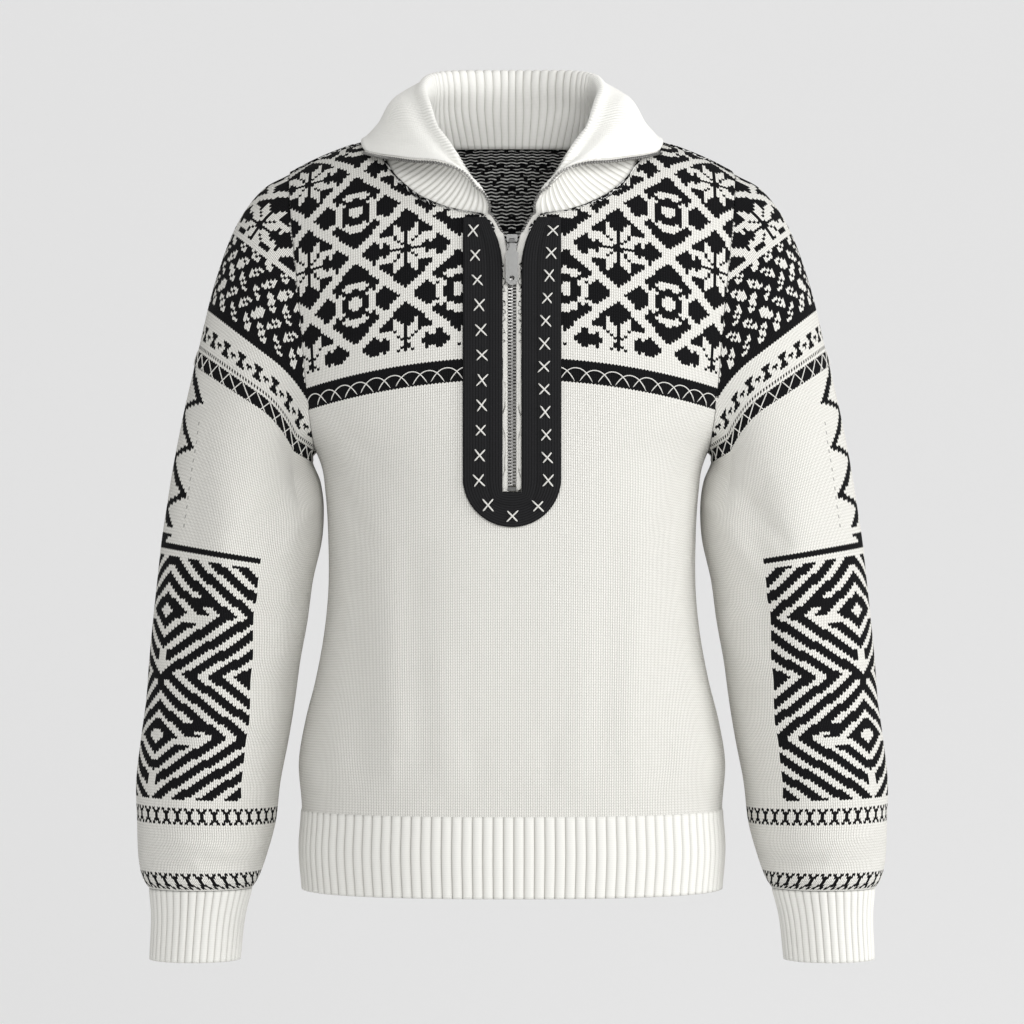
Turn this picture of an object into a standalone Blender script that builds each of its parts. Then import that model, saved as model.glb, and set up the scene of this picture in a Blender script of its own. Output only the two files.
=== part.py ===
"""Half-zip fair isle pullover, filled out as if worn, with nobody in it.

All design sizes are in millimetres. X runs across the garment (the wearer's left is +X), the front
faces -Y, and Z is up. The origin lies between the shoulders, level with the high points of the
shoulder seams. Every cut piece is its own thin closed wall, and seams are SEAM_GAP wide.
"""

import math

import bmesh
import bpy
import numpy as np
from mathutils import Matrix, Vector

MM = 0.001
SEAM_GAP = 0.3

# Wall thicknesses.
KNIT_THICK = 2.4
RIB_THICK = 2.2
RIB_RAISE = 1.1
PLACKET_THICK = 1.9
PLACKET_LIFT = 0.55
TAPE_THICK = 1.2
TAPE_SINK = 0.4
TAPE_GAP = 0.5

# Torso sections: half width of the body, and how far the front and the back stand off the middle.
# Above the underarm the half width is that of the whole chest, which the armholes cut into.
TORSO_COLUMNS = ("z", "half_width", "front", "back")
TORSO = (
    (-625.0, 178.0, 108.0, 110.0),
    (-590.0, 180.5, 110.0, 112.0),
    (-557.5, 178.5, 110.0, 112.0),
    (-517.0, 181.0, 112.0, 114.0),
    (-483.0, 175.5, 110.0, 112.0),
    (-449.0, 167.0, 107.0, 108.0),
    (-415.0, 160.5, 104.0, 104.0),
    (-380.0, 156.5, 102.0, 101.0),
    (-330.0, 156.0, 103.0, 101.0),
    (-289.0, 158.5, 105.0, 104.0),
    (-268.0, 161.5, 107.0, 106.0),
    (-256.0, 166.0, 108.0, 108.0),
    (-230.0, 183.0, 109.5, 110.0),
    (-200.0, 195.0, 110.5, 112.0),
    (-150.0, 206.0, 111.0, 113.0),
    (-100.0, 211.0, 110.0, 113.0),
    (-50.0, 213.0, 110.0, 113.0),
    (30.0, 214.0, 110.0, 113.0),
)
SECTION_POWER = 2.4
ROLL_START = -190.0
ROLL_POWER = {-1: 2.2, 1: 3.4}

# Height of the shoulder ridge, outwards from the middle of the neck.
RIDGE_COLUMNS = ("x", "z")
RIDGE = (
    (0.0, 28.0),
    (60.0, 25.5),
    (90.0, 19.0),
    (112.0, 11.5),
    (143.0, 2.0),
    (165.0, -7.0),
    (189.0, -19.0),
)

# Armhole, as its distance from the middle at each height.
ARMHOLE_COLUMNS = ("z", "x")
ARMHOLE = (
    (-256.0, 166.0),
    (-235.0, 168.5),
    (-210.0, 171.0),
    (-150.0, 176.0),
    (-100.0, 181.0),
    (-50.0, 186.5),
    (-19.0, 189.0),
)
UNDERARM_Z = -256.0
SHOULDER_TIP = (189.0, -19.0)
ARMHOLE_STEPS = 12
UNDERARM_TURN = 0.72

# Neckline.
NECK_HALF = 112.0
NECK_FRONT_Z = -61.0
NECK_SIDE_Z = 11.5
NECK_BACK_Z = 11.0
NECK_POWER = 2.4

# Front slot, which the zip fills and which spreads towards the neck.
SLOT_HALF = 7.5
SLOT_TOP_HALF = 22.0
SLOT_FOOT_Z = -288.7
SLOT_SPREAD_Z = -110.0
SLOT_SPREAD_POWER = 2.4

# Where the panels' columns meet the neckline and the shoulder seam.
FRONT_COLUMNS = (22.0, 34.0, 48.0, 64.0, 80.0, 94.0, 105.0, 112.0, 135.0, 158.0, 177.0, 189.0)
BACK_COLUMNS = (7.5, 25.0, 45.0, 63.0, 79.0, 93.0, 104.0, 112.0, 135.0, 158.0, 177.0, 189.0)
SIDE_CROWDING = 1.8
SIDE_CROWDING_FADE = 0.6
BODY_FOOT_Z = -557.5
BODY_ROWS = (BODY_FOOT_Z, -520.0, -480.0, -440.0, -400.0, -360.0, -324.0, SLOT_FOOT_Z, -268.0)

# The largest soft folds, as lines seen from the front: where each starts and ends, half its width
# and how far it rises out of the cloth, or sinks in where that is negative. Side -1 is the front.
FOLD_COLUMNS = ("side", "from_x", "from_z", "to_x", "to_z", "half_width", "rise")
BODY_FOLDS = (
    (-1, 146.0, -280.0, 126.0, -520.0, 19.0, -3.8),
    (-1, 112.0, -310.0, 98.0, -490.0, 18.0, 2.4),
    (1, 140.0, -280.0, 120.0, -520.0, 21.0, -4.4),
    (1, 62.0, -230.0, 44.0, -480.0, 26.0, -3.6),
)
SLEEVE_FOLDS = (
    (-1, 200.0, -285.0, 210.0, -420.0, 17.0, -3.8),
    (-1, 236.0, -300.0, 242.0, -410.0, 18.0, 2.6),
    (-1, 196.0, -448.0, 268.0, -415.0, 17.0, -2.8),
    (1, 204.0, -285.0, 216.0, -420.0, 19.0, -4.2),
    (1, 198.0, -440.0, 272.0, -405.0, 18.0, -3.4),
)
BODY_FOLD_FADE = 50.0
SLEEVE_FOLD_FADE_ROWS = 4

# Sleeve sections, from the armhole to the cuff seam: the ends of each section next to the body and
# on the outside, its half depth and where its middle lies between front and back.
SLEEVE_COLUMNS = ("inner_x", "inner_z", "outer_x", "outer_z", "half_depth", "middle_y")
SLEEVE = (
    (166.3, -256.0, 189.3, -19.0, 64.0, 0.0),
    (168.4, -256.6, 213.0, -33.0, 64.0, 0.0),
    (169.9, -258.2, 235.0, -64.0, 63.5, 0.0),
    (170.2, -260.6, 253.0, -113.0, 62.5, 0.0),
    (169.6, -263.8, 266.5, -168.0, 61.5, 0.0),
    (167.4, -269.0, 279.0, -222.0, 60.0, -1.0),
    (162.6, -281.0, 288.0, -268.0, 59.5, -2.0),
    (160.0, -302.0, 293.0, -300.0, 59.0, -3.0),
    (161.5, -330.0, 297.5, -330.0, 59.0, -4.0),
    (169.0, -364.0, 301.0, -364.0, 58.5, -6.0),
    (173.5, -398.0, 304.5, -398.0, 58.0, -8.0),
    (179.5, -432.0, 307.5, -432.0, 57.5, -10.0),
    (184.0, -466.0, 310.0, -466.0, 57.0, -12.0),
    (189.5, -500.0, 314.5, -500.0, 56.0, -14.0),
    (196.0, -534.0, 318.0, -534.0, 55.0, -16.0),
    (200.0, -568.0, 317.0, -568.0, 53.0, -18.0),
    (207.5, -596.0, 316.0, -596.0, 49.5, -19.0),
    (214.0, -614.0, 312.5, -614.0, 46.0, -20.0),
    (219.5, -622.9, 307.0, -622.9, 41.0, -20.0),
)
ARMHOLE_FADE_ROWS = 6

# Cuffs.
CUFF_COLUMNS = ("z", "middle_x", "half_width", "half_depth", "middle_y")
CUFF = (
    (-623.2, 263.25, 43.2, 40.4, -20.0),
    (-642.0, 264.9, 39.8, 36.9, -20.5),
    (-683.5, 268.0, 37.8, 34.8, -21.5),
)
CUFF_RIBS = 38

# Hem rib.
HEM_ROWS = (-557.8, -590.0, -625.0)
HEM_RIBS = 111

# Collar stations, from the zip end round to the middle of the back, for the wearer's left half.
# Each rib starts on the neck seam, climbs the stand, folds at the roll and falls to the free edge.
COLLAR_COLUMNS = ("stand", "roll", "fall_upper", "fall_lower", "edge", "fold")
COLLAR = (
    (
        (22.0, -98.0, -51.0), (27.0, -102.0, -40.5), (47.0, -103.5, -22.5),
        (88.0, -83.0, -13.0), (121.0, -45.0, -4.5), 0.0,
    ),
    (
        (58.0, -86.0, -33.0), (46.0, -96.0, -11.0), (70.0, -87.0, -4.5),
        (103.0, -61.0, 0.5), (128.0, -27.0, 6.0), 2.4,
    ),
    (
        (90.0, -60.0, -7.0), (61.0, -68.0, 12.0), (85.0, -58.0, 15.0),
        (114.0, -31.0, 15.0), (132.0, 2.0, 11.0), 3.0,
    ),
    (
        (93.0, -16.0, 22.0), (71.0, -30.0, 38.0), (94.0, -16.0, 39.0),
        (118.0, 9.0, 26.0), (129.0, 34.0, 10.5), 3.4,
    ),
    (
        (84.0, 28.0, 33.0), (75.5, 13.0, 57.5), (93.0, 28.0, 51.0),
        (111.0, 48.0, 29.0), (115.0, 66.0, 9.0), 3.4,
    ),
    (
        (60.0, 62.0, 41.0), (62.0, 54.0, 71.5), (73.0, 70.0, 60.0),
        (75.0, 82.0, 35.0), (72.0, 86.0, 9.0), 3.4,
    ),
    (
        (0.0, 76.0, 42.0), (0.0, 83.0, 76.0), (0.0, 94.0, 62.0),
        (0.0, 96.0, 36.0), (0.0, 94.0, 9.0), 3.4,
    ),
)
FOLD_REACH = 0.14
FOLD_DROP = 0.6
FOLD_ROWS = (0.3, 0.62)
FOLD_SPAN = 0.08
COLLAR_AIM_Z = 60.0
COLLAR_RIBS = 72
COLLAR_ROWS = 11

# Placket facing.
PLACKET_HALF = 40.4
PLACKET_FOOT_Z = -318.4
PLACKET_TOP_Z = NECK_FRONT_Z - 1.6
PLACKET_COLUMNS = 4
PLACKET_SIDE_ROWS = 9
PLACKET_ROUND_STEPS = 14

# Zip.
TEETH_HALF = 3.2
TEETH_THICK = 2.8
OPEN_TAPE = 3.0
ZIP_FOOT_Z = -288.4
STOP_HEIGHT = 3.0
SLIDER_Z = -84.0
SLIDER_LENGTH = 13.0
SLIDER_HALF_TOP = 4.75
SLIDER_HALF_FOOT = 3.75
SLIDER_FACE = 4.2
SLIDER_CORE = 2.2
SLIDER_CORE_HALF = 2.0
SLIDER_CORE_SETBACK = (0.5, 2.0)
SLIDER_CORNER = 1.2
SLIDER_OVERLAP = 1.0
POST_X = 3.5
POST_SIDE = 1.7
BAR_RADIUS = 0.9
BAR_OUT = 6.7
EYE_RADIUS = 2.2
EYE_BORE = 1.25
EYE_HALF = 2.25
TAB_LENGTH = 37.0
TAB_HALF = 5.2
TAB_NECK_HALF = 2.2
TAB_NECK_LENGTH = 5.5
TAB_SHOULDER = 5.0
TAB_ROUND_STEPS = 8
TAB_THICK = 1.6
TAB_LEAN = math.radians(8.0)
TAB_HOLE_RADIUS = 2.1
TAB_HOLE_FROM_END = 6.0
ZIP_CLOSED_ROWS = 9
STOP_PROUD = 0.4

# Where the open teeth part above the slider, as height and distance from the middle.
V_TEETH = ((-76.8, 3.4), (-73.5, 6.2), (-67.0, 9.6), (-61.0, 13.4))


def column(rows, names, name, at):
    """A named column of a table, smoothly interpolated against the table's first column."""
    data = np.array(rows, float)
    x, y = data[:, 0], data[:, names.index(name)]
    return smooth(x, y, at)


def smooth(x, y, at):
    """Cubic Hermite curve through the points (x, y), with y a number or a vector for each x."""
    x, y = np.asarray(x, float), np.asarray(y, float)
    slope = np.gradient(y, x, axis=0)
    at = np.clip(at, x[0], x[-1])
    i = np.clip(np.searchsorted(x, at, side="right") - 1, 0, len(x) - 2)
    width = x[i + 1] - x[i]
    t = (at - x[i]) / width
    if y.ndim > 1:
        t, width = np.asarray(t)[..., None], np.asarray(width)[..., None]
    return (
        (1 + 2 * t) * (1 - t) ** 2 * y[i]
        + t * (1 - t) ** 2 * width * slope[i]
        + t**2 * (3 - 2 * t) * y[i + 1]
        + t**2 * (t - 1) * width * slope[i + 1]
    )


def unit(v):
    return v / np.linalg.norm(v, axis=-1, keepdims=True)


def ease(t):
    t = np.clip(t, 0.0, 1.0)
    return t * t * (3 - 2 * t)


# The torso.


def ridge_z(x):
    return column(RIDGE, RIDGE_COLUMNS, "z", abs(x))


def armhole_x(z):
    return column(ARMHOLE, ARMHOLE_COLUMNS, "x", z)


def edge_x(z):
    """Half width of a panel: to the side seam below the underarm, to the armhole above it."""
    if z <= UNDERARM_Z:
        return column(TORSO, TORSO_COLUMNS, "half_width", z)
    return armhole_x(z)


def fold_rise(folds, x, z, side):
    """How far the folds on one side lift the cloth at a point seen from the front."""
    total = 0.0
    for row in folds:
        fold = dict(zip(FOLD_COLUMNS, row))
        if fold["side"] != side:
            continue
        start = Vector((fold["from_x"], fold["from_z"]))
        run = Vector((fold["to_x"], fold["to_z"])) - start
        away = Vector((abs(x), z)) - start
        share = min(1.0, max(0.0, away.dot(run) / run.length_squared))
        gap = (away - share * run).length / fold["half_width"]
        total += fold["rise"] * math.exp(-gap * gap)
    return total


def depth(x, z, side):
    """How far the cloth stands off the middle plane, in front (side -1) or behind (side 1)."""
    half = column(TORSO, TORSO_COLUMNS, "half_width", z)
    stand = column(TORSO, TORSO_COLUMNS, "front" if side < 0 else "back", z)
    bulge = max(0.0, 1 - abs(x / half) ** SECTION_POWER) ** (1 / SECTION_POWER)
    t = max(0.0, (z - ROLL_START) / (ridge_z(x) - ROLL_START))
    power = ROLL_POWER[side]
    folds = fold_rise(BODY_FOLDS, x, z, side) * ease((z - BODY_FOOT_Z) / BODY_FOLD_FADE)
    return (stand + folds) * bulge * max(0.0, 1 - t**power) ** (1 / power)


def torso_point(x, z, side):
    return np.array((x, side * max(depth(x, z, side), SEAM_GAP / 2), z))


def torso_normal(x, z, side, step=0.4):
    """Outward normal, from the slopes of the squared depth, which stay finite at ridge and side."""
    square = lambda p, q: depth(p, q, side) ** 2
    slope_x = (square(x + step, z) - square(x - step, z)) / (2 * step)
    slope_z = (square(x, z + step) - square(x, z - step)) / (2 * step)
    stand = depth(x, z, side)
    return unit(np.array((-slope_x, 2 * side * (stand if stand > 1.0 else 0.0), -slope_z)))


def armhole_height(turn):
    """Height on the armhole at an angle from the shoulder tip (0) to the underarm (pi)."""
    middle = (SHOULDER_TIP[1] + UNDERARM_Z) / 2
    return middle + (SHOULDER_TIP[1] - middle) * math.cos(turn)


def seam_normal(normal, turn):
    """Normal on the armhole seam, which turns to face down where the sleeve folds under the arm."""
    share = ease((turn / math.pi - UNDERARM_TURN) / (1 - UNDERARM_TURN))
    return unit(normal * (1 - share) + np.array((0.0, 0.0, -1.0)) * share)


def slot_half(z):
    spread = min(1.0, max(0.0, (z - SLOT_SPREAD_Z) / (NECK_FRONT_Z - SLOT_SPREAD_Z)))
    return SLOT_HALF + (SLOT_TOP_HALF - SLOT_HALF) * spread**SLOT_SPREAD_POWER


def neck_z(x, side):
    if side > 0:
        return NECK_BACK_Z
    drop = max(0.0, 1 - abs(x / NECK_HALF) ** NECK_POWER) ** 0.5
    return NECK_SIDE_Z - (NECK_SIDE_Z - NECK_FRONT_Z) * drop


def top_z(x, side):
    return ridge_z(x) if abs(x) >= NECK_HALF - 1e-6 else neck_z(x, side)


def panel_grid(side, tops):
    """Rows of (x, z, turn) for a body panel. turn is the armhole angle on the panel's edge, or None."""
    middle = tops[0]
    shares = [(top - middle) / (tops[-1] - middle) for top in tops]
    inner = slot_half if side < 0 else lambda z: SLOT_HALF
    grid = []
    crowded = [1 - (1 - q) ** SIDE_CROWDING for q in shares]
    for z in BODY_ROWS:
        row = [(inner(z) + q * (edge_x(z) - inner(z)), z, None) for q in crowded]
        grid.append(row)
    for step in range(ARMHOLE_STEPS + 1):
        turn = math.pi * (1 - step / ARMHOLE_STEPS)
        nominal = armhole_height(turn)
        share = (nominal - UNDERARM_Z) / (SHOULDER_TIP[1] - UNDERARM_Z)
        fade = ease(share / SIDE_CROWDING_FADE)
        row = []
        for even, packed, top in zip(shares, crowded, tops):
            q = packed + fade * (even - packed)
            z = UNDERARM_Z + share * (top_z(top, side) - UNDERARM_Z)
            start = inner(z)
            x = start + q * (armhole_x(nominal) - start)
            if step == ARMHOLE_STEPS:
                x = top
            row.append((x, z, turn if even == 1 else None))
        grid.append(row)
    return grid


def body_panel(name, side, tops, material):
    """Front (side -1) or back (side 1). Returns its outer and inner points."""
    half = panel_grid(side, tops)
    outer, inner, heights = [], [], []
    for i, row in enumerate(half):
        outer_row, inner_row = [], []
        for mirror in (-1, 1):
            for x, z, turn in row[::-1] if mirror < 0 else row:
                normal = torso_normal(x, z, side)
                if turn is not None:
                    normal = seam_normal(normal, turn)
                if i == 0:
                    normal = unit(normal * np.array((1.0, 1.0, 0.0)))
                point = torso_point(x, z, side)
                flip = np.array((mirror, 1.0, 1.0))
                outer_row.append(point * flip)
                inner_row.append((point - KNIT_THICK * normal) * flip)
        outer.append(outer_row)
        inner.append(inner_row)
        heights.append(row[0][1])
    outer, inner = np.array(outer), np.array(inner)
    cells = outer.shape[1] - 1
    middle = len(tops) - 1
    keep = np.ones((len(outer) - 1, cells), bool)
    if side < 0:
        for i, height in enumerate(heights[1:]):
            keep[i, middle] = height <= SLOT_FOOT_Z + 1e-6
    wall(name, outer, inner, material, keep=keep)
    return outer, inner


# The sleeves.


def armhole_ring(steps):
    """Points and normals of the seam, from the shoulder tip down the front and up the back."""
    points, normals = [], []
    for k in range(2 * steps):
        turn = math.pi * k / steps
        side = -1 if k <= steps else 1
        down = turn if turn <= math.pi else 2 * math.pi - turn
        z = armhole_height(down)
        x = armhole_x(z)
        at_end = k in (0, steps)
        point = np.array((x, 0.0 if at_end else side * depth(x, z, side), z))
        normal = torso_normal(x, z, side)
        if at_end:
            normal[1] = 0.0
        points.append(point)
        normals.append(seam_normal(unit(normal), down))
    return np.array(points), np.array(normals)


def tangents(points, ring=False):
    """Unit directions along a line of points, halfway between the runs on either side."""
    if ring:
        runs = unit(np.roll(points, -1, axis=0) - points)
        return unit(runs + np.roll(runs, 1, axis=0))
    runs = unit(np.diff(points, axis=0))
    return unit(np.concatenate((runs[:1], runs[1:] + runs[:-1], runs[-1:])))


def across(points, normals, ring=True):
    """Unit vectors that lie in the cloth and cross the seam that runs through the points."""
    return unit(np.cross(tangents(points, ring), normals))


def sleeve_ring(section, steps):
    at = dict(zip(SLEEVE_COLUMNS, section))
    turns = np.arange(2 * steps) * math.pi / steps
    x = (at["inner_x"] + at["outer_x"]) / 2 + (at["outer_x"] - at["inner_x"]) / 2 * np.cos(turns)
    z = (at["inner_z"] + at["outer_z"]) / 2 + (at["outer_z"] - at["inner_z"]) / 2 * np.cos(turns)
    return np.stack((x, at["middle_y"] - at["half_depth"] * np.sin(turns), z), axis=1)


def grid_normals(grid, ring):
    """Unit normals of a grid of points whose rows run down a tube or along a strip."""
    if ring:
        around = np.roll(grid, -1, axis=1) - np.roll(grid, 1, axis=1)
    else:
        around = np.gradient(grid, axis=1)
    return unit(np.cross(np.gradient(grid, axis=0), around))


def sleeve(name, mirror, material):
    seam, seam_normals = armhole_ring(ARMHOLE_STEPS)
    first = sleeve_ring(SLEEVE[0], ARMHOLE_STEPS)
    cross = across(seam, seam_normals)
    cross *= np.sign(cross[:, :1])
    start = seam + SEAM_GAP * cross
    rings = []
    for i, section in enumerate(SLEEVE):
        left_over = 1 - ease(i / ARMHOLE_FADE_ROWS)
        rings.append(sleeve_ring(section, ARMHOLE_STEPS) + left_over * (start - first))
    outer = np.array(rings)
    normals = grid_normals(outer, ring=True)
    middle = outer.mean(axis=1, keepdims=True)
    if ((outer - middle) * normals).sum() < 0:
        normals = -normals
    normals[0] = seam_normals
    normals[-1, :, 2] = 0.0
    for i, row in enumerate(outer):
        held = ease(i / SLEEVE_FOLD_FADE_ROWS)
        for j, point in enumerate(row):
            side = -1 if point[1] < SLEEVE[i][SLEEVE_COLUMNS.index("middle_y")] else 1
            point += held * fold_rise(SLEEVE_FOLDS, point[0], point[2], side) * normals[i, j]
    inner = outer - KNIT_THICK * unit(normals)
    flip = np.array((mirror, 1.0, 1.0))
    wall(name, outer * flip, inner * flip, material, ring=True)


def ribbed_tube(name, rings, ribs, material, mirror=1):
    """A tube whose outer points are raised on every other column, over a plain inside."""
    outward = unit((rings - rings.mean(axis=1, keepdims=True)) * np.array((1.0, 1.0, 0.0)))
    crest = np.where(np.arange(rings.shape[1]) % 2 == 0, RIB_RAISE, 0.0)[None, :, None]
    outer = rings + (crest - RIB_RAISE / 2) * outward
    inner = (rings - RIB_THICK * outward)[:, ::2]
    flip = np.array((mirror, 1.0, 1.0))
    wall(name, outer * flip, inner * flip, material, step=2, ring=True)


def cuff(name, mirror, material):
    turns = np.arange(2 * CUFF_RIBS) * math.pi / CUFF_RIBS
    rings = []
    for row in CUFF:
        section = dict(zip(CUFF_COLUMNS, row))
        x = section["middle_x"] + section["half_width"] * np.cos(turns)
        y = section["middle_y"] - section["half_depth"] * np.sin(turns)
        rings.append(np.stack((x, y, np.full_like(x, section["z"])), axis=1))
    ribbed_tube(name, np.array(rings), CUFF_RIBS, material, mirror)


def hem_rib(material):
    rings = []
    for z in HEM_ROWS:
        half = column(TORSO, TORSO_COLUMNS, "half_width", z)
        dense = np.linspace(0, 2 * math.pi, 1441)
        power = 2 / SECTION_POWER
        x = half * np.sign(np.cos(dense)) * abs(np.cos(dense)) ** power
        stand = np.where(
            np.sin(dense) > 0,
            column(TORSO, TORSO_COLUMNS, "front", z),
            column(TORSO, TORSO_COLUMNS, "back", z),
        )
        y = -stand * np.sign(np.sin(dense)) * abs(np.sin(dense)) ** power
        rings.append(even_spacing(np.stack((x, y, np.full_like(x, z)), axis=1), 2 * HEM_RIBS))
    ribbed_tube("hem_rib", np.array(rings), HEM_RIBS, material)


def even_spacing(points, count):
    """A closed curve's points spread evenly along it, without repeating the first."""
    lengths = np.concatenate(([0.0], np.cumsum(np.linalg.norm(np.diff(points, axis=0), axis=1))))
    at = np.arange(count) * lengths[-1] / count
    return np.stack([np.interp(at, lengths, points[:, k]) for k in range(3)], axis=1)


# The collar.


def neck_edge(front, back):
    """The panels' outer and inner neck edges, from the right zip end round the back to the left."""
    edges = []
    for front_points, back_points in zip(front, back):
        corner = FRONT_COLUMNS.index(NECK_HALF)
        start = len(FRONT_COLUMNS)
        left = list(front_points[-1, start : start + corner + 1])
        corner = BACK_COLUMNS.index(NECK_HALF)
        start = len(BACK_COLUMNS)
        left += list(back_points[-1, start : start + corner + 1])[::-1]
        right = [point * np.array((-1.0, 1.0, 1.0)) for point in left]
        edges.append(np.array(right + left[::-1]))
    return edges


def collar_base(front, back, columns):
    """Outside of the stand and underside of the fall, with the neck seam's normals."""
    outer, inner = neck_edge(front, back)
    lengths = np.concatenate(([0.0], np.cumsum(np.linalg.norm(np.diff(outer, axis=0), axis=1))))
    at = np.linspace(0, lengths[-1], columns)
    seam = np.stack([np.interp(at, lengths, outer[:, k]) for k in range(3)], axis=1)
    seam_inner = np.stack([np.interp(at, lengths, inner[:, k]) for k in range(3)], axis=1)
    normals = unit(seam - seam_inner)
    cross = across(seam, normals, ring=False)
    inward = seam * np.array((-1.0, -1.0, 0.0)) + np.array((0.0, 0.0, COLLAR_AIM_Z))
    cross *= np.sign((cross * inward).sum(axis=1, keepdims=True))
    seam = seam + SEAM_GAP * cross
    flip = np.array((-1.0, 1.0, 1.0))
    stations = np.linspace(0, 1, 2 * len(COLLAR) - 1)
    spots = np.linspace(0, 1, columns)
    guides = {}
    for k, name in enumerate(COLLAR_COLUMNS):
        left = np.array([row[k] for row in COLLAR], float)
        right = left * flip if left.ndim > 1 else left
        guides[name] = smooth(stations, np.concatenate((right, left[-2::-1])), spots)
    rows = []
    for j in range(columns):
        roll, edge, fold = guides["roll"][j], guides["edge"][j], guides["fold"][j]
        stand, upper = guides["stand"][j], guides["fall_upper"][j]
        aside = fold * unit((edge - roll) * np.array((1.0, 1.0, 0.0)))
        drop = np.array((0.0, 0.0, FOLD_DROP * fold))
        knots = np.array(
            (
                seam[j],
                stand,
                roll + FOLD_REACH * (stand - roll) - aside - drop,
                roll,
                roll + FOLD_REACH * (upper - roll) + aside - drop,
                upper,
                guides["fall_lower"][j],
                edge,
            )
        )
        rows.append(section_curve(knots, COLLAR_ROWS))
    return np.array(rows).transpose(1, 0, 2), normals


def section_curve(knots, count):
    """A smooth curve through the knots, with rows crowded together where it folds."""
    gaps = np.linalg.norm(np.diff(knots, axis=0), axis=1)
    lengths = np.concatenate(([0.0], np.cumsum(gaps)))
    fold = lengths[3] / lengths[-1]
    even = np.linspace(0, 1, count)
    shares = np.interp(even, (0, *FOLD_ROWS, 1), (0, fold - FOLD_SPAN, fold + FOLD_SPAN, 1))
    return smooth(lengths, knots, shares * lengths[-1])


def collar(front, back, material):
    """Returns the two faces' points at the zip end on the wearer's left, and the row before it."""
    base, seam_normals = collar_base(front, back, 2 * COLLAR_RIBS + 1)
    normals = grid_normals(base, ring=False)
    normals *= np.sign((normals[1] * seam_normals).sum())
    normals[0] = seam_normals
    crest = np.where(np.arange(base.shape[1]) % 2 == 0, 0.0, RIB_RAISE)[None, :, None]
    crest = np.repeat(crest, base.shape[0], axis=0)
    crest[0] = 0.0
    face = base - (RIB_THICK + crest) * normals
    wall("collar", face, base[:, ::2], material, step=2)
    return base[:, -1], face[:, -1], base[:, -2]


# The placket and the zip.


def lifted(x, z, out):
    """A point on the front, moved out from the cloth."""
    mirror = np.array((-1.0 if x < 0 else 1.0, 1.0, 1.0))
    point = torso_point(abs(x), z, -1)
    return (point + out * torso_normal(abs(x), z, -1)) * mirror


def placket(material):
    """The U-shaped facing round the slot, as a strip that runs down one side and up the other."""
    round_z = PLACKET_FOOT_Z + PLACKET_HALF
    rails = []
    for z in np.linspace(PLACKET_TOP_Z, round_z, PLACKET_SIDE_ROWS):
        rails.append(((slot_half(z) + SEAM_GAP, z), (PLACKET_HALF, z)))
    slot_foot = SLOT_FOOT_Z - SEAM_GAP
    for k in range(1, PLACKET_ROUND_STEPS // 2 + 1):
        turn = math.pi * k / PLACKET_ROUND_STEPS
        rim = (PLACKET_HALF * math.cos(turn), round_z - PLACKET_HALF * math.sin(turn))
        share = 2 * turn / math.pi
        if share < 0.5:
            hole = (SLOT_HALF + SEAM_GAP, round_z + (slot_foot - round_z) * share * 2)
        else:
            hole = ((SLOT_HALF + SEAM_GAP) * (1 - share) * 2, slot_foot)
        rails.append((hole, rim))
    rows = []
    for mirror in (1, -1):
        for hole, rim in rails if mirror > 0 else rails[::-1][1:]:
            spots = [np.array(hole) + q * (np.array(rim) - hole) for q in np.linspace(0, 1, PLACKET_COLUMNS)]
            rows.append([(mirror * x, z) for x, z in spots])
    inner = np.array([[lifted(x, z, PLACKET_LIFT) for x, z in row] for row in rows])
    outer = np.array([[lifted(x, z, PLACKET_LIFT + PLACKET_THICK) for x, z in row] for row in rows])
    wall("placket", outer, inner, material)


def zip_path(collar_end):
    """Rows along one half of the zip: (cloth edge, teeth line, normal), from the foot to the corner."""
    base, face, before = collar_end
    rows = []
    slider_foot = SLIDER_Z - SLIDER_LENGTH / 2
    for z in np.linspace(ZIP_FOOT_Z, slider_foot, ZIP_CLOSED_ROWS):
        rows.append((slot_half(z) - TAPE_GAP, TEETH_HALF + SEAM_GAP, z))
    for z, x in V_TEETH:
        rows.append((slot_half(z) - TAPE_GAP, x + TEETH_HALF + SEAM_GAP, z))
    path = []
    for cloth, teeth, z in rows:
        sink = TAPE_SINK + TAPE_THICK / 2
        path.append((lifted(cloth, z, -sink), lifted(teeth, z, -sink), torso_normal(cloth, z, -1)))
    middle = (base + face) / 2
    normals = unit(base - face)
    beyond = across(middle, normals, ring=False)
    beyond *= np.sign(((middle - before) * beyond).sum())
    for k in range(1, len(middle)):
        cloth = middle[k] + TAPE_GAP * beyond[k]
        path.append((cloth, cloth + OPEN_TAPE * beyond[k], normals[k]))
    return path


def strip(name, near, far, normals, thick, mirror, material):
    """A flat strip between two edges, as thick as told, centred on them."""
    edges = np.stack((near, far), axis=1)
    lift = thick / 2 * normals[:, None, :]
    flip = np.array((mirror, 1.0, 1.0))
    wall(name, (edges + lift) * flip, (edges - lift) * flip, material)


def middle_strip(name, low_z, high_z, thick, metal):
    """A strip up the middle of the zip, as wide as the closed teeth."""
    heights = np.linspace(low_z, high_z, ZIP_CLOSED_ROWS)
    sink = TAPE_SINK + TAPE_THICK / 2
    right, left = [np.array([lifted(x, z, -sink) for z in heights]) for x in (-TEETH_HALF, TEETH_HALF)]
    out = np.array([torso_normal(0.0, z, -1) for z in heights])
    strip(name, right, left, out, thick, 1, metal)


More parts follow.
